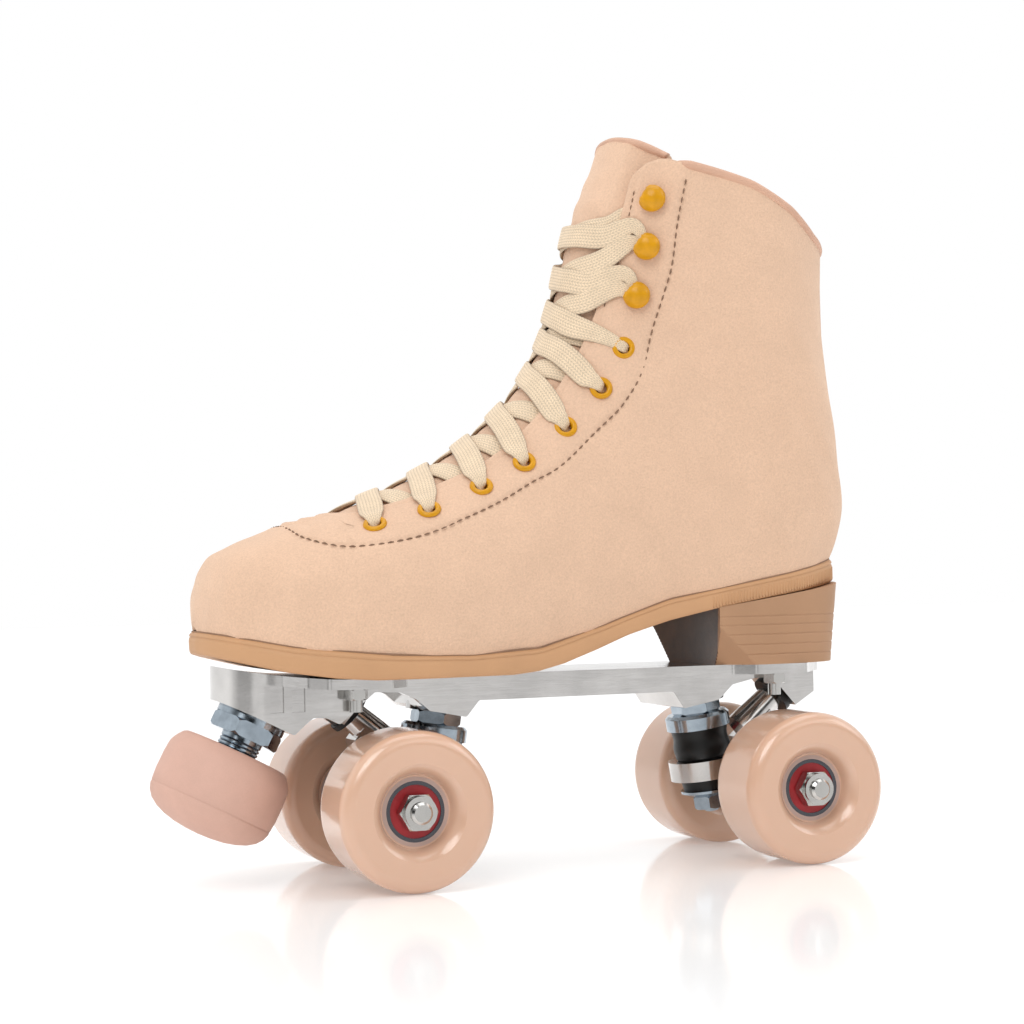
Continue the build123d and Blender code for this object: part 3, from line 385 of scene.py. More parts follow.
def finish_of(name, colour, rough, metal=0.0, patch=18.0, patch_change=0.06, grain=0.5, grain_change=0.05,
              bump=0.05, rough_change=0.08, stretch=(1, 1, 1), extra=None):
    """A procedural finish: broad patches, fine grain, uneven gloss and a bumpy surface."""
    made = bpy.data.materials.new(name)
    made.use_nodes = True
    tree = made.node_tree
    shader = tree.nodes["Principled BSDF"]
    where = node(tree, "ShaderNodeTexCoord").outputs["Object"]
    stretched = node(tree, "ShaderNodeMapping", {"Vector": where, "Scale": stretch}).outputs["Vector"]
    broad = noise(tree, where, patch, 3)
    fine = noise(tree, stretched, grain, 5, 0.6)
    tone = mixed(tree, ranged(tree, broad, 0, 1), shade(colour, 1 - patch_change),
                 shade(colour, 1 + patch_change))
    tone = mixed(tree, ranged(tree, fine, 0, 2 * grain_change), tone, shade(colour, 0.55))
    tree.links.new(tone, shader.inputs["Base Color"])
    tree.links.new(ranged(tree, fine, rough - rough_change, rough + rough_change), shader.inputs["Roughness"])
    shader.inputs["Metallic"].default_value = metal
    height = node(tree, "ShaderNodeBump", {"Height": fine, "Distance": bump * MM, "Strength": 0.9})
    tree.links.new(height.outputs["Normal"], shader.inputs["Normal"])
    for key, value in (extra or {}).items():
        shader.inputs[key].default_value = value
    return made


PEACH = (0.80, 0.545, 0.385)
suede = finish_of("nubuck", PEACH, 0.93, patch=14, patch_change=0.03, grain=0.75, grain_change=0.17,
                  bump=0.30, extra={"Sheen Weight": 0.35, "Sheen Roughness": 0.45,
                                    "Sheen Tint": (1.0, 0.86, 0.74, 1), "Specular IOR Level": 0.18})
trim = finish_of("binding", (0.66, 0.40, 0.28), 0.62, patch=9, grain=0.35, grain_change=0.08, bump=0.10,
                 extra={"Sheen Weight": 0.12, "Specular IOR Level": 0.3})
lining_cloth = finish_of("lining_cloth", (0.62, 0.38, 0.27), 0.55, patch=12, patch_change=0.08, grain=0.4,
                         grain_change=0.10, bump=0.12, extra={"Specular IOR Level": 0.35})
thread = finish_of("thread", (0.25, 0.15, 0.095), 0.8, patch=4, grain=0.15, grain_change=0.2, bump=0.05)
gold = finish_of("brass_gold", (0.64, 0.295, 0.002), 0.32, patch=3, patch_change=0.10, grain=0.25,
                 grain_change=0.03, bump=0.012, rough_change=0.06,
                 extra={"Specular IOR Level": 0.28, "Coat Weight": 0.08})
rubber = finish_of("heel_rubber", (0.455, 0.262, 0.150), 0.55, patch=22, patch_change=0.04, grain=0.3,
                   grain_change=0.06, bump=0.05, extra={"Specular IOR Level": 0.3})
sole_finish = finish_of("sole_rubber", (0.585, 0.330, 0.172), 0.55, patch=22, patch_change=0.04, grain=0.3,
                        grain_change=0.05, bump=0.04, extra={"Specular IOR Level": 0.3})
breast_finish = finish_of("heel_breast", (0.092, 0.050, 0.028), 0.36, patch=10, patch_change=0.25, grain=0.4,
                          grain_change=0.05, bump=0.03, extra={"Specular IOR Level": 0.15})
feather_finish = finish_of("feather_cord", (0.30, 0.175, 0.105), 0.75, patch=6, grain=0.2, bump=0.05)
cast = finish_of("cast_plate", (0.60, 0.585, 0.57), 0.15, metal=1.0, patch=20, patch_change=0.12, grain=0.7,
                 grain_change=0.04, bump=0.006, rough_change=0.05, stretch=(0.08, 1, 1))
zinc = finish_of("zinc_steel", (0.36, 0.42, 0.475), 0.14, metal=1.0, patch=5, patch_change=0.16, grain=0.3,
                 grain_change=0.05, bump=0.006, rough_change=0.05)
steel = finish_of("bearing_steel", (0.56, 0.55, 0.53), 0.16, metal=1.0, patch=6, patch_change=0.06,
                  grain=0.25, grain_change=0.05, bump=0.005, rough_change=0.05)
urethane = finish_of("urethane", (0.70, 0.445, 0.315), 0.20, patch=22, patch_change=0.012, grain=1.5,
                     grain_change=0.004, bump=0.0012, rough_change=0.02,
                     extra={"Subsurface Weight": 0.10, "Subsurface Radius": (0.006, 0.003, 0.002),
                            "Coat Weight": 0.6, "Coat Roughness": 0.06})
nylon = finish_of("hub_nylon", (0.52, 0.37, 0.32), 0.42, patch=6, grain=0.3, bump=0.03)
seal_red = finish_of("seal_red", (0.36, 0.012, 0.018), 0.38, patch=4, patch_change=0.10, grain=0.25,
                     bump=0.03)
black = finish_of("cushion_black", (0.006, 0.006, 0.006), 0.38, patch=6, patch_change=0.2, grain=0.4,
                  bump=0.04, extra={"Specular IOR Level": 0.32})
race_finish = finish_of("dark_race_steel", (0.10, 0.10, 0.11), 0.24, metal=1.0, patch=6, patch_change=0.06,
                        grain=0.25, grain_change=0.05, bump=0.005, rough_change=0.05)
stop_finish = finish_of("stop_rubber", (0.680, 0.425, 0.340), 0.62, patch=12, patch_change=0.04, grain=0.35,
                        grain_change=0.07, bump=0.06, extra={"Specular IOR Level": 0.3})


def weave_finish(name, colour):
    """Woven lace: a cream thread, with painted shade down in the weave."""
    made = finish_of(name, colour, 0.85, patch=5, patch_change=0.06, grain=0.18, grain_change=0.12, bump=0.06,
                     extra={"Sheen Weight": 0.25, "Specular IOR Level": 0.2})
    tree = made.node_tree
    shader = tree.nodes["Principled BSDF"]
    before = shader.inputs["Base Color"].links[0].from_socket
    raised = node(tree, "ShaderNodeAttribute", attribute_name="weave").outputs["Fac"]
    # painted shade: where the weave lies low, the cream is darkened to about half, standing in for shade in
    # the weave's hollows
    tone = mixed(tree, ranged(tree, raised, 0, 1, 0.0, 0.75), shade(colour, 0.52), before)
    tree.links.new(tone, shader.inputs["Base Color"])
    return made


lace_cotton = weave_finish("lace_cotton", (0.88, 0.70, 0.50))

# ---------------------------------------------------------------- upper


def stitch_height(s, v):
    """How far the leather is pulled down by the seams and folds near a place on the boot."""
    a = np.abs(v)
    line = np.array(EYESTAY)
    order = np.argsort(line[:, 0])
    seam = np.interp(s, line[order, 0], line[order, 1])
    away = (a - seam) * 110.0
    drop = -0.42 * np.exp(-(away / 0.9) ** 2) * (s > 3.24) * (s < 13.2)
    drop += 0.30 / (1 + np.exp(away / 0.8)) * (s > 3.3)
    rim = (a - throat_edge(s)) * 110.0
    drop += -0.30 * np.exp(-((rim - 2.3) / 0.6) ** 2) * (s > 4.0)
    wrinkle = np.exp(-((s - 3.55) / 0.33) ** 2) * np.exp(-(a / 0.13) ** 2)
    drop += 0.55 * wrinkle * np.sin(s * 26 + 3 * np.cos(a * 30))
    return drop


def soft_wave(s, v):
    """Slow unevenness of worked leather."""
    return (0.35 * np.sin(1.7 * s + 5.1 * v) * np.sin(7.3 * v + 0.9 * s)
            + 0.22 * np.sin(3.9 * s - 11 * v + 1.0) + 0.12 * np.sin(8.3 * s + 17 * v))


def upper():
    """The suede upper: both sides from the lacing gap down to the sole, with pressed seams."""
    rows, columns = 330, 120
    points, faces = [], []
    t = np.linspace(0, 1, rows)[:, None]
    u = np.linspace(0, 1, columns)[None, :]
    u = u ** 1.08
    for side in (1, -1):
        v = np.broadcast_to(u * 1.0, (rows, columns)) * 0.8 + 0.19
        for _ in range(8):
            s = t * collar_line(v)
            low = throat_edge(s)
            v = low + (np.minimum(feather_line(s) + 0.025, 1.0) - low) * u
        s = t * collar_line(v)
        height = stitch_height(s, v) + soft_wave(s, side * v) * np.clip(s / 2, 0, 1)
        place = surface(s, side * v + (v == 0) * 1e-6 * side)
        normal = surface_normal(np.clip(s, 0.05, 13.9), side * np.clip(v, 0.012, 0.985))
        place = place + normal * height[..., None]
        place[0] = (147.6, -5.0, 96.5)
        place[:, 0][v[:, 0] == 0, 1] = section_at(s[:, 0])[v[:, 0] == 0, 5]
        at_back = v[:, -1] >= 0.999
        place[at_back, -1, 1] = 0.0
        start = len(points) * rows * columns
        points.append(place.reshape(-1, 3))
        faces += grid_faces(rows, columns, start, flip=side < 0)
    points = np.concatenate(points)
    faces = np.array(faces)
    middle = points[faces].mean(1)
    clear = np.ones(len(faces), bool)
    for c in eyelet_places():
        clear &= np.linalg.norm(middle - c, axis=1) > 3.1
    piece = make("upper_leather", points, faces[clear], suede)
    weld(piece, 0.03)
    thicken(piece, 2.0)
    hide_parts("upper_shell")


def eyelet_places():
    """Middles of the eyelets on both sides."""
    s = np.array([a for a, b in EYELETS] * 2)
    v = np.array([b for a, b in EYELETS] + [-b for a, b in EYELETS])
    return surface(s, v)


def stitches(name, line, height, side, length=2.3, gap=1.2, thick=0.34):
    """Thread showing as short dashes along an (s, v) line."""
    path = np.array([(a, b) for a, b in line])
    dense = smooth_line(path, 1200)
    on = on_boot(dense[:, 0], dense[:, 1] * side, height)
    ups = surface_normal(dense[:, 0], dense[:, 1] * side)
    run = along_length(on)
    parts = []
    count = int(run[-1] / (length + gap))
    for i in range(count):
        a = (i + 0.5) * (length + gap)
        where = np.linspace(a, a + length, 7)
        place = np.stack([np.interp(where, run, on[:, k]) for k in range(3)], -1)
        up = unit(np.stack([np.interp(where, run, ups[:, k]) for k in range(3)], -1))
        lift = np.sin(np.linspace(0, pi, 7))
        place = place + up * (lift * 0.28 - 0.12)[:, None]
        tangent = unit(np.gradient(place, axis=0))
        across = np.cross(tangent, up)
        angle = np.linspace(0, 2 * pi, 6, endpoint=False)
        fat = thick * np.maximum(lift, 0.25) ** 0.5
        tube = (place[:, None, :] + across[:, None, :] * (np.cos(angle)[None, :, None] * fat[:, None, None])
                + up[:, None, :] * (np.sin(angle)[None, :, None] * fat[:, None, None]))
        faces = grid_faces(7, 6, closed=True) + [tuple(range(6))[::-1], tuple(range(36, 42))]
        parts.append((tube.reshape(-1, 3), faces))
    return joined(name, parts, thread)


# ---------------------------------------------------------------- lining, tongue, insole


def lining():
    """The lining inside the upper, padded at the collar."""
    rows, columns = 150, 70
    t = np.linspace(0.02, 1, rows)[:, None]
    u = np.linspace(0, 1, columns)[None, :]
    points, faces = [], []
    for side in (1, -1):
        v = np.broadcast_to(u, (rows, columns)) * 0.75 + 0.24
        for _ in range(8):
            s = t * (collar_line(v) - 0.02)
            low = np.where(s > 3.86, throat_edge(s) + 0.05, 0.0)
            v = low + (1 - low) * u
        s = t * (collar_line(v) - 0.02)
        puff = np.clip((s - 12.0) / 1.4, 0, 1) * 1.6
        place = surface(s, side * v, 2.3 + puff)
        place[:, -1, 1] = 0
        points.append(place.reshape(-1, 3))
        faces += grid_faces(rows, columns, start=(0 if side > 0 else rows * columns), flip=side < 0)
    piece = make("boot_lining", np.concatenate(points), faces, lining_cloth)
    weld(piece, 0.05)
    thicken(piece, 1.8)
    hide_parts("lining")


def tongue_top(v):
    """Station of the tongue's rounded top edge."""
    return station_where(lambda p: p[..., 2] - 286.0 + 9.5 * (np.abs(v) / 0.27) ** 2, v, 12.0, 14.0)


def tongue():
    """Padded tongue: a closed cushion between the lacing edges, rising above the collar."""
    rows, columns = 170, 64
    t = np.linspace(0, 1, rows)[:, None]
    w = np.linspace(-1, 1, columns)[None, :]
    wide = 0.115 + np.interp(t * 13.5, [0, 4, 5, 9, 12.4, 13.5], [0.02, 0.06, 0.10, 0.13, 0.155, 0.16])
    v = w * wide
    s = 3.62 + t * (tongue_top(v[-1:]) - 3.62)
    inside = 0.9 + 2.6 * np.clip((np.abs(v) - throat_edge(s) + 0.05) / 0.06, 0, 1)
    inside = inside + 1.2 * np.clip((4.6 - s) / 1.0, 0, 1)
    inside = inside + 2.6 * np.clip((s - 11.8) / 1.6, 0, 1) ** 1.3
    rim = np.minimum(1, np.minimum((1 - np.abs(w)) * 9, t * 40))
    dimple = 0.25 * np.sin(s * 9) * np.exp(-((np.abs(v) - 0.05) / 0.05) ** 2)
    rounding = (1 - np.sqrt(np.clip(rim, 0, 1))) * 1.6
    normal = surface_normal(s, v)
    outer = surface(s, v, inside) + normal * (dimple - rounding)[..., None]
    inner = surface(s, v, inside + 5.2) + normal * rounding[..., None]
    points = np.concatenate([outer.reshape(-1, 3), inner.reshape(-1, 3)])
    half = rows * columns
    faces = grid_faces(rows, columns) + grid_faces(rows, columns, half, flip=True)
    ring = ([j for j in range(columns)] + [i * columns + columns - 1 for i in range(1, rows)]
            + [(rows - 1) * columns + j for j in range(columns - 2, -1, -1)]
            + [i * columns for i in range(rows - 2, 0, -1)])
    for a, b in zip(ring, ring[1:] + ring[:1]):
        faces.append((b, a, a + half, b + half))
    piece = make("tongue_padded", points, faces, suede)
    weld(piece, 0.001)
    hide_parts("tongue")
    tv = np.linspace(-0.262, 0.262, 90)
    ts = tongue_top(tv) - 0.02
    path = surface(ts, tv, 0.9 + 2.6 + 2.6 + 1.8 * np.clip((np.abs(tv) - 0.16) / 0.08, 0, 1))
    edge = sweep("tongue_binding", path, surface_normal(ts, tv), ellipse(1.7, 3.2), trim)


def insole():
    """The padded insole on the floor of the boot."""
    rows, columns = 60, 30
    s = np.linspace(0.6, 10.0, rows)[:, None]
    u = np.linspace(-1, 1, columns)[None, :]
    v = 1 - (1 - feather_line(s) - 0.01) * np.abs(u)
    place = surface(s, np.sign(u) * v, 4.6)
    place[..., 2] = np.interp(place[..., 0], [-122, -80, -30, -2, 26, 55, 85, 120, 154],
                              [123, 115, 106.5, 97.5, 89.7, 88.1, 89, 92.5, 99]) + 0.8
    piece = make("insole_cloth", place.reshape(-1, 3), grid_faces(rows, columns), lining_cloth)
    thicken(piece, 2.5)
    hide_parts("insole")


# ---------------------------------------------------------------- trim


def collar_tube():
    """Rolled binding round the collar, thinning out at the lacing edges."""
    v = np.concatenate([np.linspace(0.30, 1.0, 150), np.linspace(-0.999, -0.30, 150)])
    path = surface(collar_line(v), v, 1.9)
    path[np.abs(v) > 0.995, 1] = 0
    path = evenly(path, 320)
    out = unit(path - np.array([-66, 0, 235]))
    out[:, 2] = 0.0
    end = np.minimum(np.arange(320), np.arange(320)[::-1]) / 9.0
    fat = np.sqrt(np.clip(end, 0.02, 1))[:, None] * (1, 1)
    piece = sweep("collar_binding_tube", path + UP * 0.1, unit(out), ellipse(2.0, 2.6, 16), trim, widths=fat)
    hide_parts("collar_binding")


def back_seam():
    """Piping down the seam at the back of the boot."""
    s = np.linspace(10.46, 13.42, 120)
    path = surface(s, np.full_like(s, 0.9999), -0.2)
    path[:, 1] = 0
    normal = np.stack([-np.ones_like(s), 0 * s, 0 * s], -1)
    piece = sweep("back_seam_piping", path, normal, ellipse(2.2, 2.4, 16), trim)
    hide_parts("back_piping")


# ---------------------------------------------------------------- lacing hardware


def forward_on(s, v):
    """Direction across the boot towards the lacing gap."""
    return surface(s, v * 0.8) - surface(s, v)


def eyelets():
    """Rolled rings of the lower seven rows."""
    profile = [(2.35, -2.6), (2.35, 0.2), (2.42, 0.65), (2.75, 1.0), (3.3, 1.12), (3.85, 0.98), (4.3, 0.55),
               (4.45, 0.1), (4.3, -0.1), (3.1, -0.1), (3.05, -2.6)]
    parts = []
    for s, v in EYELETS:
        for side in (1, -1):
            here, normal = surface(s, v * side), surface_normal(s, v * side)
            points, faces = lathe(profile, 40)
            parts.append((placed(points, here + normal * 0.25, normal, forward_on(s, v * side)), faces))
    piece = joined("eyelet_rings", parts, gold)
    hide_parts("eyelets")


def hooks():
    """Domed lace hooks of the upper three rows, cut off on the side the lace comes from."""
    profile = [(0.0, 6.1), (1.3, 6.02), (2.6, 5.7), (3.7, 5.15), (4.6, 4.3), (5.15, 3.3), (5.3, 2.5),
               (5.1, 2.2), (4.5, 2.3), (3.0, 2.6), (2.0, 2.4), (1.9, 0.9), (3.3, 0.7), (3.6, 0.3),
               (3.5, -0.1), (0.0, -0.1)]
    parts = []
    for s, v in HOOKS:
        for side in (1, -1):
            here, normal = surface(s, v * side), surface_normal(s, v * side)
            points, faces = lathe(profile, 48)
            cut = np.clip(points[:, 0] - 3.6, 0, None)
            tooth = 0.35 * np.cos(points[:, 1] * 2.6)
            points[:, 0] -= np.where((cut > 0) & (points[:, 2] > 1.5), cut - tooth * (cut > 0.3), 0)
            parts.append((placed(points, here + normal * 0.1, normal, forward_on(s, v * side)), faces))
    piece = joined("lace_hooks", parts, gold)
    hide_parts("hooks")


# ---------------------------------------------------------------- laces


LACE_WIDE = 9.4
LACE_THICK = 1.25
ROWS_OF_WEAVE = 8


def ribbon(path, normals, wide, thick):
    """Points, faces and weave heights of a flat woven lace along a path."""
    rows = len(path)
    tangent = unit(np.gradient(path, axis=0))
    across = unit(np.cross(tangent, normals))
    up = np.cross(across, tangent)
    run = along_length(path)
    top = 41
    under = 9
    a = np.linspace(-1, 1, top)
    b = np.linspace(1, -1, under)[1:-1]
    column = (a + 1) / 2 * ROWS_OF_WEAVE
    index = np.minimum(np.floor(column), ROWS_OF_WEAVE - 1)
    part = column - index
    lean = np.where(index % 2 == 0, 1.0, -1.0)
    phase = run[:, None] / 1.35 + lean[None, :] * (part[None, :] - 0.5) * 0.9
    weave = np.abs(np.sin(pi * phase)) ** 0.6 * np.abs(np.sin(pi * np.clip(part, 0.04, 0.96)))[None, :] ** 0.5
    edge = np.sqrt(np.clip(1 - np.abs(a) ** 6, 0, 1))
    y_top = a[None, :] * wide[:, None] / 2
    z_top = (thick[:, None] / 2) * edge[None, :] + 0.24 * (weave - 0.5) * edge[None, :]
    y_low = b[None, :] * wide[:, None] / 2
    z_low = -(thick[:, None] / 2) * np.sqrt(np.clip(1 - np.abs(b) ** 6, 0, 1))[None, :]
    y = np.concatenate([y_top, y_low], 1)
    z = np.concatenate([z_top, z_low], 1)
    raised = np.concatenate([weave * edge[None, :], np.full_like(y_low, 0.6)], 1)
    points = path[:, None, :] + across[:, None, :] * y[..., None] + up[:, None, :] * z[..., None]
    columns = points.shape[1]
    faces = grid_faces(rows, columns, closed=True)
    faces += [tuple(range(columns))[::-1], tuple((rows - 1) * columns + j for j in range(columns))]
    return points.reshape(-1, 3), faces, raised.reshape(-1)


def strap(points, step=0.30):
    """A lace through (s, v, height, width) knots."""
    knots = smooth_line(np.array(points, float) * (10, 100, 1, 1), 400) / (10, 100, 1, 1)
    path = on_boot(knots[:, 0], knots[:, 1], knots[:, 2])
    run = along_length(path)
    count = int(run[-1] / step)
    where = np.linspace(0, run[-1], count)
    at = [np.interp(where, run, knots[:, i]) for i in range(4)]
    path = np.stack([np.interp(where, run, path[:, i]) for i in range(3)], -1)
    kernel = np.ones(9) / 9
    padded = np.pad(path, ((4, 4), (0, 0)), mode="edge")
    smooth = np.stack([np.convolve(padded[:, i], kernel, "valid") for i in range(3)], -1)
    smooth[:4], smooth[-4:] = path[:4], path[-4:]
    normals = surface_normal(at[0], at[1])
    wide = at[3]
    thick = LACE_THICK * (1 + 0.9 * np.clip((LACE_WIDE - wide) / LACE_WIDE, 0, 1))
    return ribbon(smooth, normals, wide, thick)


def pulled(start, end, v):
    """Stations of a taut lace at turns v: it stays in one plane between two (s, v) places."""
    first, last = surface(*start), surface(*end)
    outward = unit(surface_normal(*start) + surface_normal(*end))
    square = unit(np.cross(last - first, outward))
    square = square if square[2] > 0 else -square
    v = np.asarray(v, float)
    sign = 1 if start[1] < end[1] else -1
    near = np.interp(sign * v, (sign * start[1], sign * end[1]), (start[0], end[0]))
    return station_where(lambda p: (p - first) @ square, v, max(near.min() - 2.5, 3.0), near.max() + 2.5)


def eyelet_strap(start, end, side, over):
    """From one eyelet up and over the gap, then under the far edge to the next one."""
    (s0, v0), (s1, v1) = start, end
    e1 = throat_edge(s1)
    high = 2.0 if over else 0.55
    v = np.array([v0 - 0.028, v0 - 0.065, 0.06, 0.0, -0.07, -e1 + 0.01, -e1 - 0.04])
    s = pulled((s0, v0), (s1, -v1), v)
    h = (1.45, 1.15, high, high, high * 0.7, -1.6, -3.2)
    w = (6.8, LACE_WIDE, LACE_WIDE, LACE_WIDE, LACE_WIDE, LACE_WIDE, 8.0)
    rows = [(s0 + 0.02, v0, -2.4, 4.0), (s0, v0 - 0.004, 0.3, 4.4), *zip(s, v, h, w),
            (s1 - 0.03, -v1 + 0.01, -3.0, 4.6)]
    return strap([(s, v * side, h, w) for s, v, h, w in rows])


def hook_strap(side):
    """The upper lace: out of the top eyelet, over to the far hook, back to the near one and tucked in."""
    low, high = 0.6, 2.0
    first, second, third = (high, low, high) if side > 0 else (low, high, low)

    def crossing(start, end, middle):
        """Knots of one taut run across the tongue."""
        sign = 1 if start[1] > end[1] else -1
        v = np.array([0.15, 0.06, 0.0, -0.06, -0.15]) * sign
        heights = (1.1, middle, middle, middle, 1.1)
        return [(a, b, h, LACE_WIDE) for a, b, h in zip(pulled(start, end, v), v, heights)]

    def wrap(s, v, turn):
        """Knots of a turn round a hook's neck."""
        return [(s - 0.22, turn * (v - 0.045), 1.2, 6.6), (s - 0.13, turn * (v - 0.010), 1.5, 3.6),
                (s, turn * (v + 0.004), 1.6, 2.6), (s + 0.13, turn * (v - 0.010), 1.5, 3.6),
                (s + 0.22, turn * (v - 0.045), 1.2, 6.6)]

    s0, v0 = EYELETS[-1]
    (h1, g1), (h2, g2) = HOOKS[:2]
    rows = [(s0 + 0.02, v0, -2.4, 4.0), (s0, v0 - 0.004, 0.3, 4.4)]
    rows += crossing((s0, v0), (h1 - 0.2, -g1), first)
    rows += wrap(h1, g1, -1)
    rows += crossing((h1 + 0.2, -g1), (h2 - 0.2, g2), second)
    rows += wrap(h2, g2, 1)
    last = crossing((h2 + 0.2, g2), (12.0, -0.24), third)
    rows += last[:-1]
    rows += [(last[-1][0], -0.15, 0.4, LACE_WIDE), (12.0, -0.20, -1.8, 8.8), (12.0, -0.235, -3.6, 8.0)]
    return strap([(s, v * side, h, w) for s, v, h, w in rows])


def laces():
    """The whole lace: a strap from each eyelet and the two upper runs round the hooks."""
    made = []
    for k in range(len(EYELETS) - 1):
        made.append(eyelet_strap(EYELETS[k], EYELETS[k + 1], 1, True))
        made.append(eyelet_strap(EYELETS[k], EYELETS[k + 1], -1, False))
    made.append(hook_strap(1))
    made.append(hook_strap(-1))
    piece = joined("woven_laces", [(p, f) for p, f, r in made], lace_cotton)
    values = np.concatenate([r for p, f, r in made]).astype(np.float32)
    # weave heights, which the lace finish turns into painted shade in the weave's low places
    piece.data.attributes.new("weave", "FLOAT", "POINT").data.foreach_set("value", values)
    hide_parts("lace")


# ---------------------------------------------------------------- sole and heel


# The sole's underside seen from the side, as (x, z).
SOLE_UNDER = ((-122, 108.6), (-105, 106.6), (-85, 103.9), (-65, 100.8), (-50, 98.2), (-30, 94.1),
              (-12, 89.0), (2, 83.9), (16, 79.3), (27, 76.9), (38, 76.0), (92, 76.0), (106, 77.0),
              (121, 79.2), (138, 83.3), (153, 87.4))
HEEL_GROOVES = (3.9, 7.8, 11.7, 15.4, 18.8)


def sole_loop(count=900):
    """The closed line where the upper meets the sole."""
    s = np.linspace(0.0, 10.44, 420)
    v = np.minimum(feather_line(s), 0.999)
    left, right = surface(s, v), surface(s, -v)
    loop = np.concatenate([left, right[::-1]])
    loop = evenly(np.concatenate([loop, loop[:1]]), count + 1)[:-1]
    for _ in range(6):
        loop = (np.roll(loop, 1, 0) + loop * 2 + np.roll(loop, -1, 0)) / 4
    ahead = np.roll(loop, -1, 0) - np.roll(loop, 1, 0)
    out = unit(np.stack([ahead[:, 1], -ahead[:, 0], 0 * ahead[:, 0]], -1))
    middle = np.array([15.0, 0.0, 0.0])
    return loop, out * np.sign(((loop - middle) * out).sum(-1).mean())


def sole_unit():
    """Moulded sole: a wall round the boot with a welt line, a rounded foot and a flat underside."""
    loop, out = sole_loop()
    x, z = np.array(SOLE_UNDER).T
    under = np.interp(loop[:, 0], x, z)
    top = loop[:, 2] + 0.15
    profile = [(-3.0, 0.0), (0.35, 0.0), (0.85, 0.05), (1.25, 0.11), (1.35, 0.16), (1.05, 0.195),
               (1.05, 0.225), (1.4, 0.26), (1.5, 0.45), (1.4, 0.75), (1.15, 0.92), (0.7, 0.985),
               (0.0, 1.0), (-6.0, 1.0), (-14.0, 1.0)]
    points = []
    for wide, down in profile:
        ring = loop + out * wide
        ring[:, 2] = top + (under - top) * down
        if wide < -4:
            ring[:, 2] = np.interp(ring[:, 0], x, z)
        points.append(ring)
    spine = points[-1].copy()
    spine[:, 1] = 0.0
    spine[:, 0] = np.clip(spine[:, 0], -95, 130)
    spine[:, 2] = np.interp(spine[:, 0], x, z)
    points.append(spine)
    rows = np.stack(points)
    faces = grid_faces(len(rows), rows.shape[1], closed=True, flip=True)
    piece = make("moulded_sole", rows.reshape(-1, 3), faces, sole_finish)
    weld(piece, 0.01)
    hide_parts("outsole")
    cord = sweep("feather_cord", loop + out * 0.2 + UP * 0.35, out, ellipse(0.30, 0.30, 8),
                 feather_finish, closed=True)


def heel_block():
    """Stacked heel with fine grooves, a hollow front face and cut front corners."""
    levels, around = 110, 220
    breast, half = -51.0, 31.5
    low_z = 76.0
    waist_x = [38, 16, -12, -50, -85, -122]
    waist_z = [76, 79.3, 89.0, 98.2, 103.6, 108.6]
    side = smooth_line([(breast, half), (breast - 13, half + 0.2), (breast - 26, half), (-90, half * 0.93),
                        (-101.5, half * 0.76), (-109.0, half * 0.44), (-112.5, 0)], around // 2)
    half_loop = np.concatenate([side, side[::-1][1:] * (1, -1)])
    over = np.linspace(-1, 1, 70)[1:-1]
    front = np.stack([breast - 5 * (1 - over**2), np.linspace(-half, half, 70)[1:-1]], -1)
    outline = np.concatenate([half_loop, front])
    is_front = np.arange(len(outline)) >= len(half_loop)
    points = []
    for t in np.linspace(0, 1, levels):
        top = np.interp(-outline[:, 0], [-x for x in waist_x], waist_z) + 0.3
        z = low_z + (top - low_z) * t
        grow = np.clip((z - low_z) / 36.0, 0, 1)
        backward = np.where(is_front, -1.0, -4.0 * np.clip((breast - outline[:, 0]) / 61, 0, 1))
        x = outline[:, 0] + grow * backward
        y = outline[:, 1] * (1 + grow * 0.3 / half)
        groove = 0
        for g in HEEL_GROOVES:
            groove = groove + np.exp(-((z - low_z - g) / 0.24) ** 2)
        groove = np.where(is_front, 0, groove)
        inward = unit(np.stack([-75 - x, -y], -1))
        x = x + inward[:, 0] * groove * 0.32
        y = y + inward[:, 1] * groove * 0.32
        cut = np.clip(1 - (z - low_z) / 15.0, 0, 1)
        over = (x - breast) / 15.0 + (np.abs(y) - half) / 13.0 + cut
        push = np.clip(over, 0, None) / (1 / 15.0**2 + 1 / 13.0**2) * (cut > 0)
        x = x - push / 15.0
        y = y - np.sign(y) * push / 13.0
        points.append(np.stack([x, y, z], -1))
    points = np.stack(points)
    rows, columns = points.shape[:2]
    faces = grid_faces(rows, columns, closed=True)
    faces += [tuple(range(columns))[::-1], tuple((rows - 1) * columns + j for j in range(columns))]
    piece = make("heel_stack", points.reshape(-1, 3), faces, rubber)
    piece.data.materials.append(breast_finish)
    for polygon in piece.data.polygons:
        c = polygon.center / MM
        if polygon.normal.x > 0.62 and c.y < 25.0:
            polygon.material_index = 1
    sharp = piece.modifiers.new("Crisp", "EDGE_SPLIT")
    sharp.split_angle = radians(38)
    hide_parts("heel")


def sole_ribs():
    """Fine upright ribs on the rear part of the sole's edge."""
    loop, out = sole_loop()
    x, z = np.array(SOLE_UNDER).T
    run = np.linalg.norm(loop - np.roll(loop, 1, 0), axis=1).mean()
    every = max(int(round(1.15 / run)), 1)
    parts = []
    for place, away in zip(loop[::every], out[::every]):
        if place[0] > -48:
            continue
        along = np.array([-away[1], away[0], 0.0])
        top = place[2] + 0.15
        low = np.interp(place[0], x, z)
        base = np.array([place[0], place[1], 0.0]) + away * 1.35
        corners = []
        for share, deep in ((0.30, 0.0), (0.36, 0.32), (0.86, 0.32), (0.93, 0.0)):
            for w in (-0.30, 0.30):
                width = w * (1.0 if deep == 0 else 0.6)
                corners.append(base + along * width + away * deep + UP * (top + (low - top) * share))
        faces = [(0, 1, 3, 2), (2, 3, 5, 4), (4, 5, 7, 6), (0, 2, 4, 6), (1, 7, 5, 3), (0, 6, 7, 1)]
        parts.append((np.array(corners), faces))
    piece = joined("sole_ribs", parts, sole_finish)


# ---------------------------------------------------------------- trucks


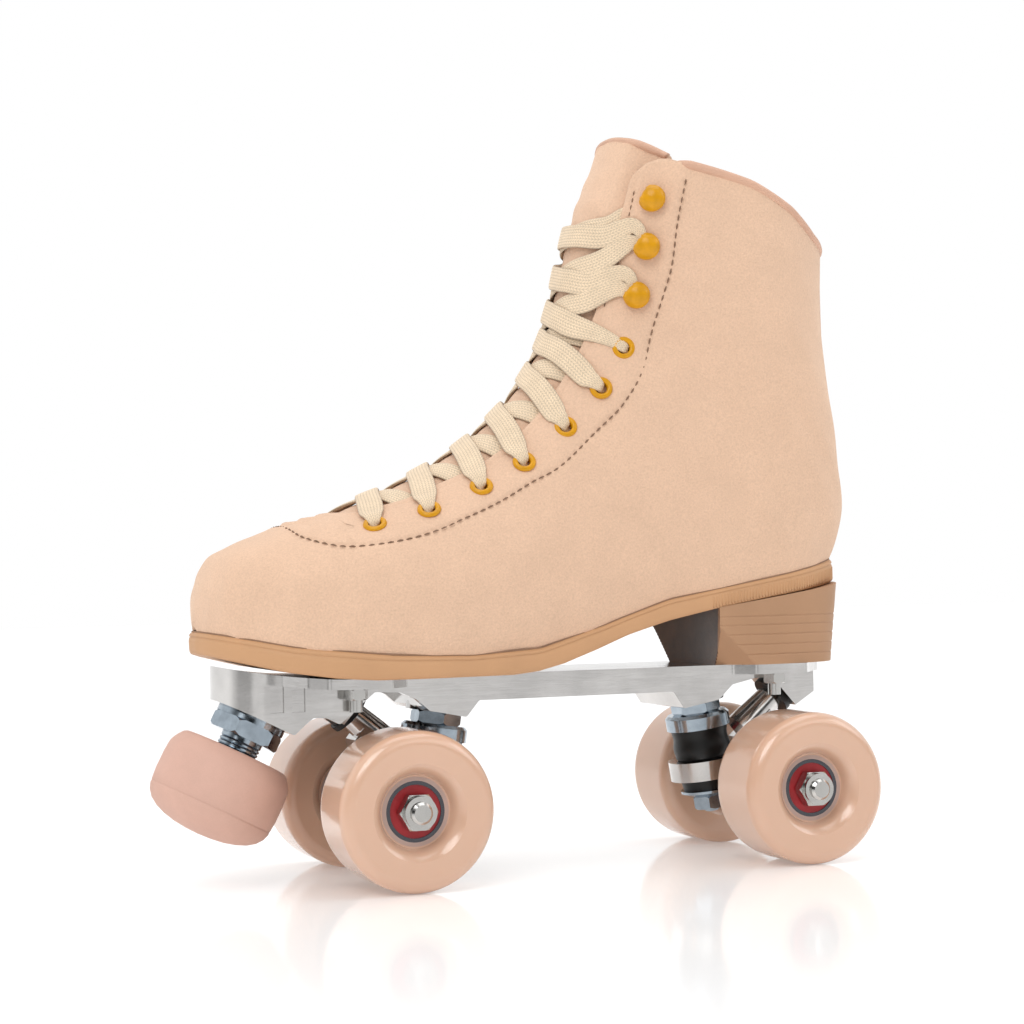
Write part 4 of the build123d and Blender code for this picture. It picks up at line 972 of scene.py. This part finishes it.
KINGPIN_LEAN = radians(9.0)
KINGPIN_PLACE = (58.8, 34.7)
STOP_LEAN = radians(27.0)
STOP_TOP = np.array([133.2, 0.0, 49.2])


def cushion(end_name, end, which):
    """A rubber bushing, turned about the kingpin's axis to the CAD cushion's size."""
    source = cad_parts[f"{end_name}_{which}_cushion"]
    co = np.array([v.co for v in source.data.vertices]) / MM
    up = np.array([-end * sin(KINGPIN_LEAN), 0, cos(KINGPIN_LEAN)])
    origin = np.array([end * KINGPIN_PLACE[0], 0, KINGPIN_PLACE[1]])
    height = (co - origin) @ up
    radial = np.linalg.norm((co - origin) - height[:, None] * up, axis=1)
    low, high, inner, outer = height.min(), height.max(), radial.min(), radial.max()
    t = np.linspace(0, 1, 22)
    body = outer - 0.55 * np.cos(2 * pi * t) ** 2 * (which == "upper")
    if which == "lower":
        body = outer - 1.1 * (1 - t)
    round_off = 0.55 * np.clip(1 - np.minimum(t, 1 - t) * 16, 0, 1) ** 2
    wall = [(r - o, low + (high - low) * k) for r, o, k in zip(body, round_off, t)]
    profile = [(inner + 0.05, low), *wall, (inner + 0.05, high)]
    points, faces = lathe(profile, 56)
    columns = 56
    rows = len(profile)
    faces += [((rows - 1) * columns + j, (rows - 1) * columns + (j + 1) % columns, (j + 1) % columns, j)
              for j in range(columns)]
    place = placed(points, origin, up, np.array([1.0, 0, 0]))
    piece = make(f"{end_name}_{which}_bushing", place, faces, black, body=None)
    if which == "upper":
        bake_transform(piece)
    else:
        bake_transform(piece)
    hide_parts(f"{end_name}_{which}_cushion")


FINISHES = (
    ("plate", cast), ("mounting", steel), ("hanger", cast), ("axle_nuts", steel), ("axle", steel),
    ("inner_races", race_finish), ("outer_races", race_finish), ("balls", steel), ("seals", seal_red),
    ("jam_nut", zinc), ("retainer", zinc), ("kingpin", zinc), ("pivot_cup", black), ("tyre", urethane),
    ("hub_core", nylon), ("toe_stop", zinc),
)


def toe_stop():
    """Moulded rubber stop: bevelled shoulder, parting line, wide rounded edge and a domed foot."""
    axis = np.array([-sin(STOP_LEAN), 0.0, cos(STOP_LEAN)])
    profile = [(0.01, -32.6), (5, -32.4), (10, -31.8), (14.5, -30.7), (18.2, -29.2), (21.0, -27.3),
               (22.9, -24.9), (23.7, -22.6), (23.75, -21.9), (23.55, -21.65), (23.8, -21.4), (24.2, -17.0),
               (24.2, -10.5), (23.9, -6.4), (23.5, -4.9), (22.8, -3.5), (21.7, -1.9), (20.7, -0.7),
               (19.6, -0.1), (18.5, 0.0), (8.2, 0.0), (8.2, -3.0)]
    points, faces = lathe(profile, 96)
    piece = make("toe_stop_block", placed(points, STOP_TOP, axis, np.array([1.0, 0, 0])), faces, stop_finish,
                 body="toe_stop")
    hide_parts("toe_stop_rubber")


def hard_parts():
    """Finishes and small rounded edges on the parts the CAD gives."""
    for name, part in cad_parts.items():
        if part.hide_render:
            continue
        for key, finish in FINISHES:
            if key in name:
                part.data.materials.clear()
                part.data.materials.append(finish)
                break
        if name == "plate":
            soften(part, 0.5)
        elif name.endswith("_hanger"):
            soften(part, 0.6)


# ---------------------------------------------------------------- studio


def studio():
    """White floor, soft lamps, and a surround whose mirror image has dark and bright cards."""
    bpy.ops.mesh.primitive_plane_add(size=8, location=(0, 0, -0.00005))
    floor = bpy.context.object
    floor.name = "studio_floor"
    pale = bpy.data.materials.new("studio_floor")
    pale.use_nodes = True
    shader = pale.node_tree.nodes["Principled BSDF"]
    shader.inputs["Base Color"].default_value = (0.93, 0.93, 0.93, 1)
    shader.inputs["Roughness"].default_value = 0.10
    shader.inputs["Emission Color"].default_value = (1, 1, 1, 1)
    shader.inputs["Emission Strength"].default_value = 0.16
    floor.data.materials.append(pale)
    world = bpy.data.worlds.new("studio")
    bpy.context.scene.world = world
    world.use_nodes = True
    tree = world.node_tree
    background = tree.nodes["Background"]
    direction = node(tree, "ShaderNodeTexCoord").outputs["Generated"]
    split = node(tree, "ShaderNodeSeparateXYZ", {"Vector": direction})
    behind = ranged(tree, split.outputs["Y"], 1.0, 0.55, -0.2, 0.75)
    bands = node(tree, "ShaderNodeValToRGB", {"Fac": ranged(tree, split.outputs["Z"], 0, 1, -1, 1)})
    stops = ((0.0, 0.5), (0.44, 0.62), (0.53, 0.62), (0.56, 0.06), (0.66, 0.05), (0.70, 1.5), (0.82, 1.5),
             (0.88, 0.35))
    strips = node(tree, "ShaderNodeValToRGB", {"Fac": ranged(tree, split.outputs["X"], 0, 1, -1, 1)})
    across = ((0.0, 0.35), (0.12, 1.3), (0.26, 1.15), (0.36, 1.1), (0.46, 0.9), (0.52, 0.12), (0.60, 0.10),
              (0.66, 1.3), (0.82, 1.2), (0.88, 0.15))
    for ramp, wanted in ((bands, stops), (strips, across)):
        scale = ramp.color_ramp.elements
        while len(scale) < len(wanted):
            scale.new(0.5)
        for stop, (at, grey) in zip(scale, wanted):
            stop.position = at
            stop.color = (grey, grey, grey, 1)
    cards = node(tree, "ShaderNodeMath", {0: bands.outputs["Color"], 1: strips.outputs["Color"]})
    cards.operation = "MULTIPLY"
    front = ranged(tree, split.outputs["Y"], 0, 1, -0.1, 0.3)
    mirrored = node(tree, "ShaderNodeLightPath").outputs["Is Glossy Ray"]
    glossy = node(tree, "ShaderNodeMath", {0: mirrored, 1: front})
    glossy.operation = "MULTIPLY"
    strength = node(tree, "ShaderNodeMix", {0: glossy.outputs[0], 2: behind, 3: cards.outputs[0]})
    tree.links.new(strength.outputs[0], background.inputs["Strength"])
    background.inputs["Color"].default_value = (1, 1, 1, 1)
    for name, place, size, power, aim in (
        ("key", (1.0, 1.2, 1.5), 1.1, 14, (0, 0, 0.12)),
        ("top", (-0.2, 0.1, 1.9), 1.4, 9, (0, 0, 0.1)),
        ("rim", (-1.4, 0.5, 0.9), 0.8, 2.5, (0, 0, 0.12)),
    ):
        lamp = bpy.data.lights.new(name, "AREA")
        lamp.size = size
        lamp.energy = power
        holder = bpy.data.objects.new(name, lamp)
        bpy.context.scene.collection.objects.link(holder)
        holder.location = place
        holder.rotation_euler = (Vector(aim) - Vector(place)).to_track_quat("-Z", "Y").to_euler()


def camera():
    """The camera of the main view."""
    azimuth, elevation, roll = radians(21.2), radians(-1.45), radians(-1.05)
    back = Vector((sin(azimuth) * cos(elevation), cos(azimuth) * cos(elevation), sin(elevation)))
    right = (-back).cross(Vector((0, 0, 1))).normalized()
    up = right.cross(-back)
    right, up = right * cos(roll) + up * sin(roll), up * cos(roll) - right * sin(roll)
    lens = bpy.data.cameras.new("photo_camera")
    lens.lens = 77.22
    lens.sensor_width = 36.0
    lens.clip_start = 0.05
    holder = bpy.data.objects.new("photo_camera", lens)
    bpy.context.scene.collection.objects.link(holder)
    place = Vector((0.33054, 0.79514, 0.11546))
    turn = Matrix((right, up, back)).transposed().to_4x4()
    holder.matrix_world = Matrix.Translation(place) @ turn
    bpy.context.scene.camera = holder


upper()
lining()
tongue()
insole()
collar_tube()
back_seam()
eyelets()
hooks()
laces()
for hand, side in (("left", 1), ("right", -1)):
    stitches(f"{hand}_eyestay_stitches", EYESTAY, 0.0, side)
    edge_line = [(s, float(throat_edge(s)) + 0.021) for s in (12.7, 12.2, 11.5, 10.5, 9.5)]
    stitches(f"{hand}_edge_stitches", edge_line, 0.25, side, 1.8, 1.0, thick=0.25)
sole_unit()
heel_block()
toe_stop()
sole_ribs()
for name, end in (("front", 1), ("rear", -1)):
    cushion(name, end, "upper")
    cushion(name, end, "lower")
hard_parts()
studio()
camera()
bpy.context.scene.view_settings.view_transform = "Standard"
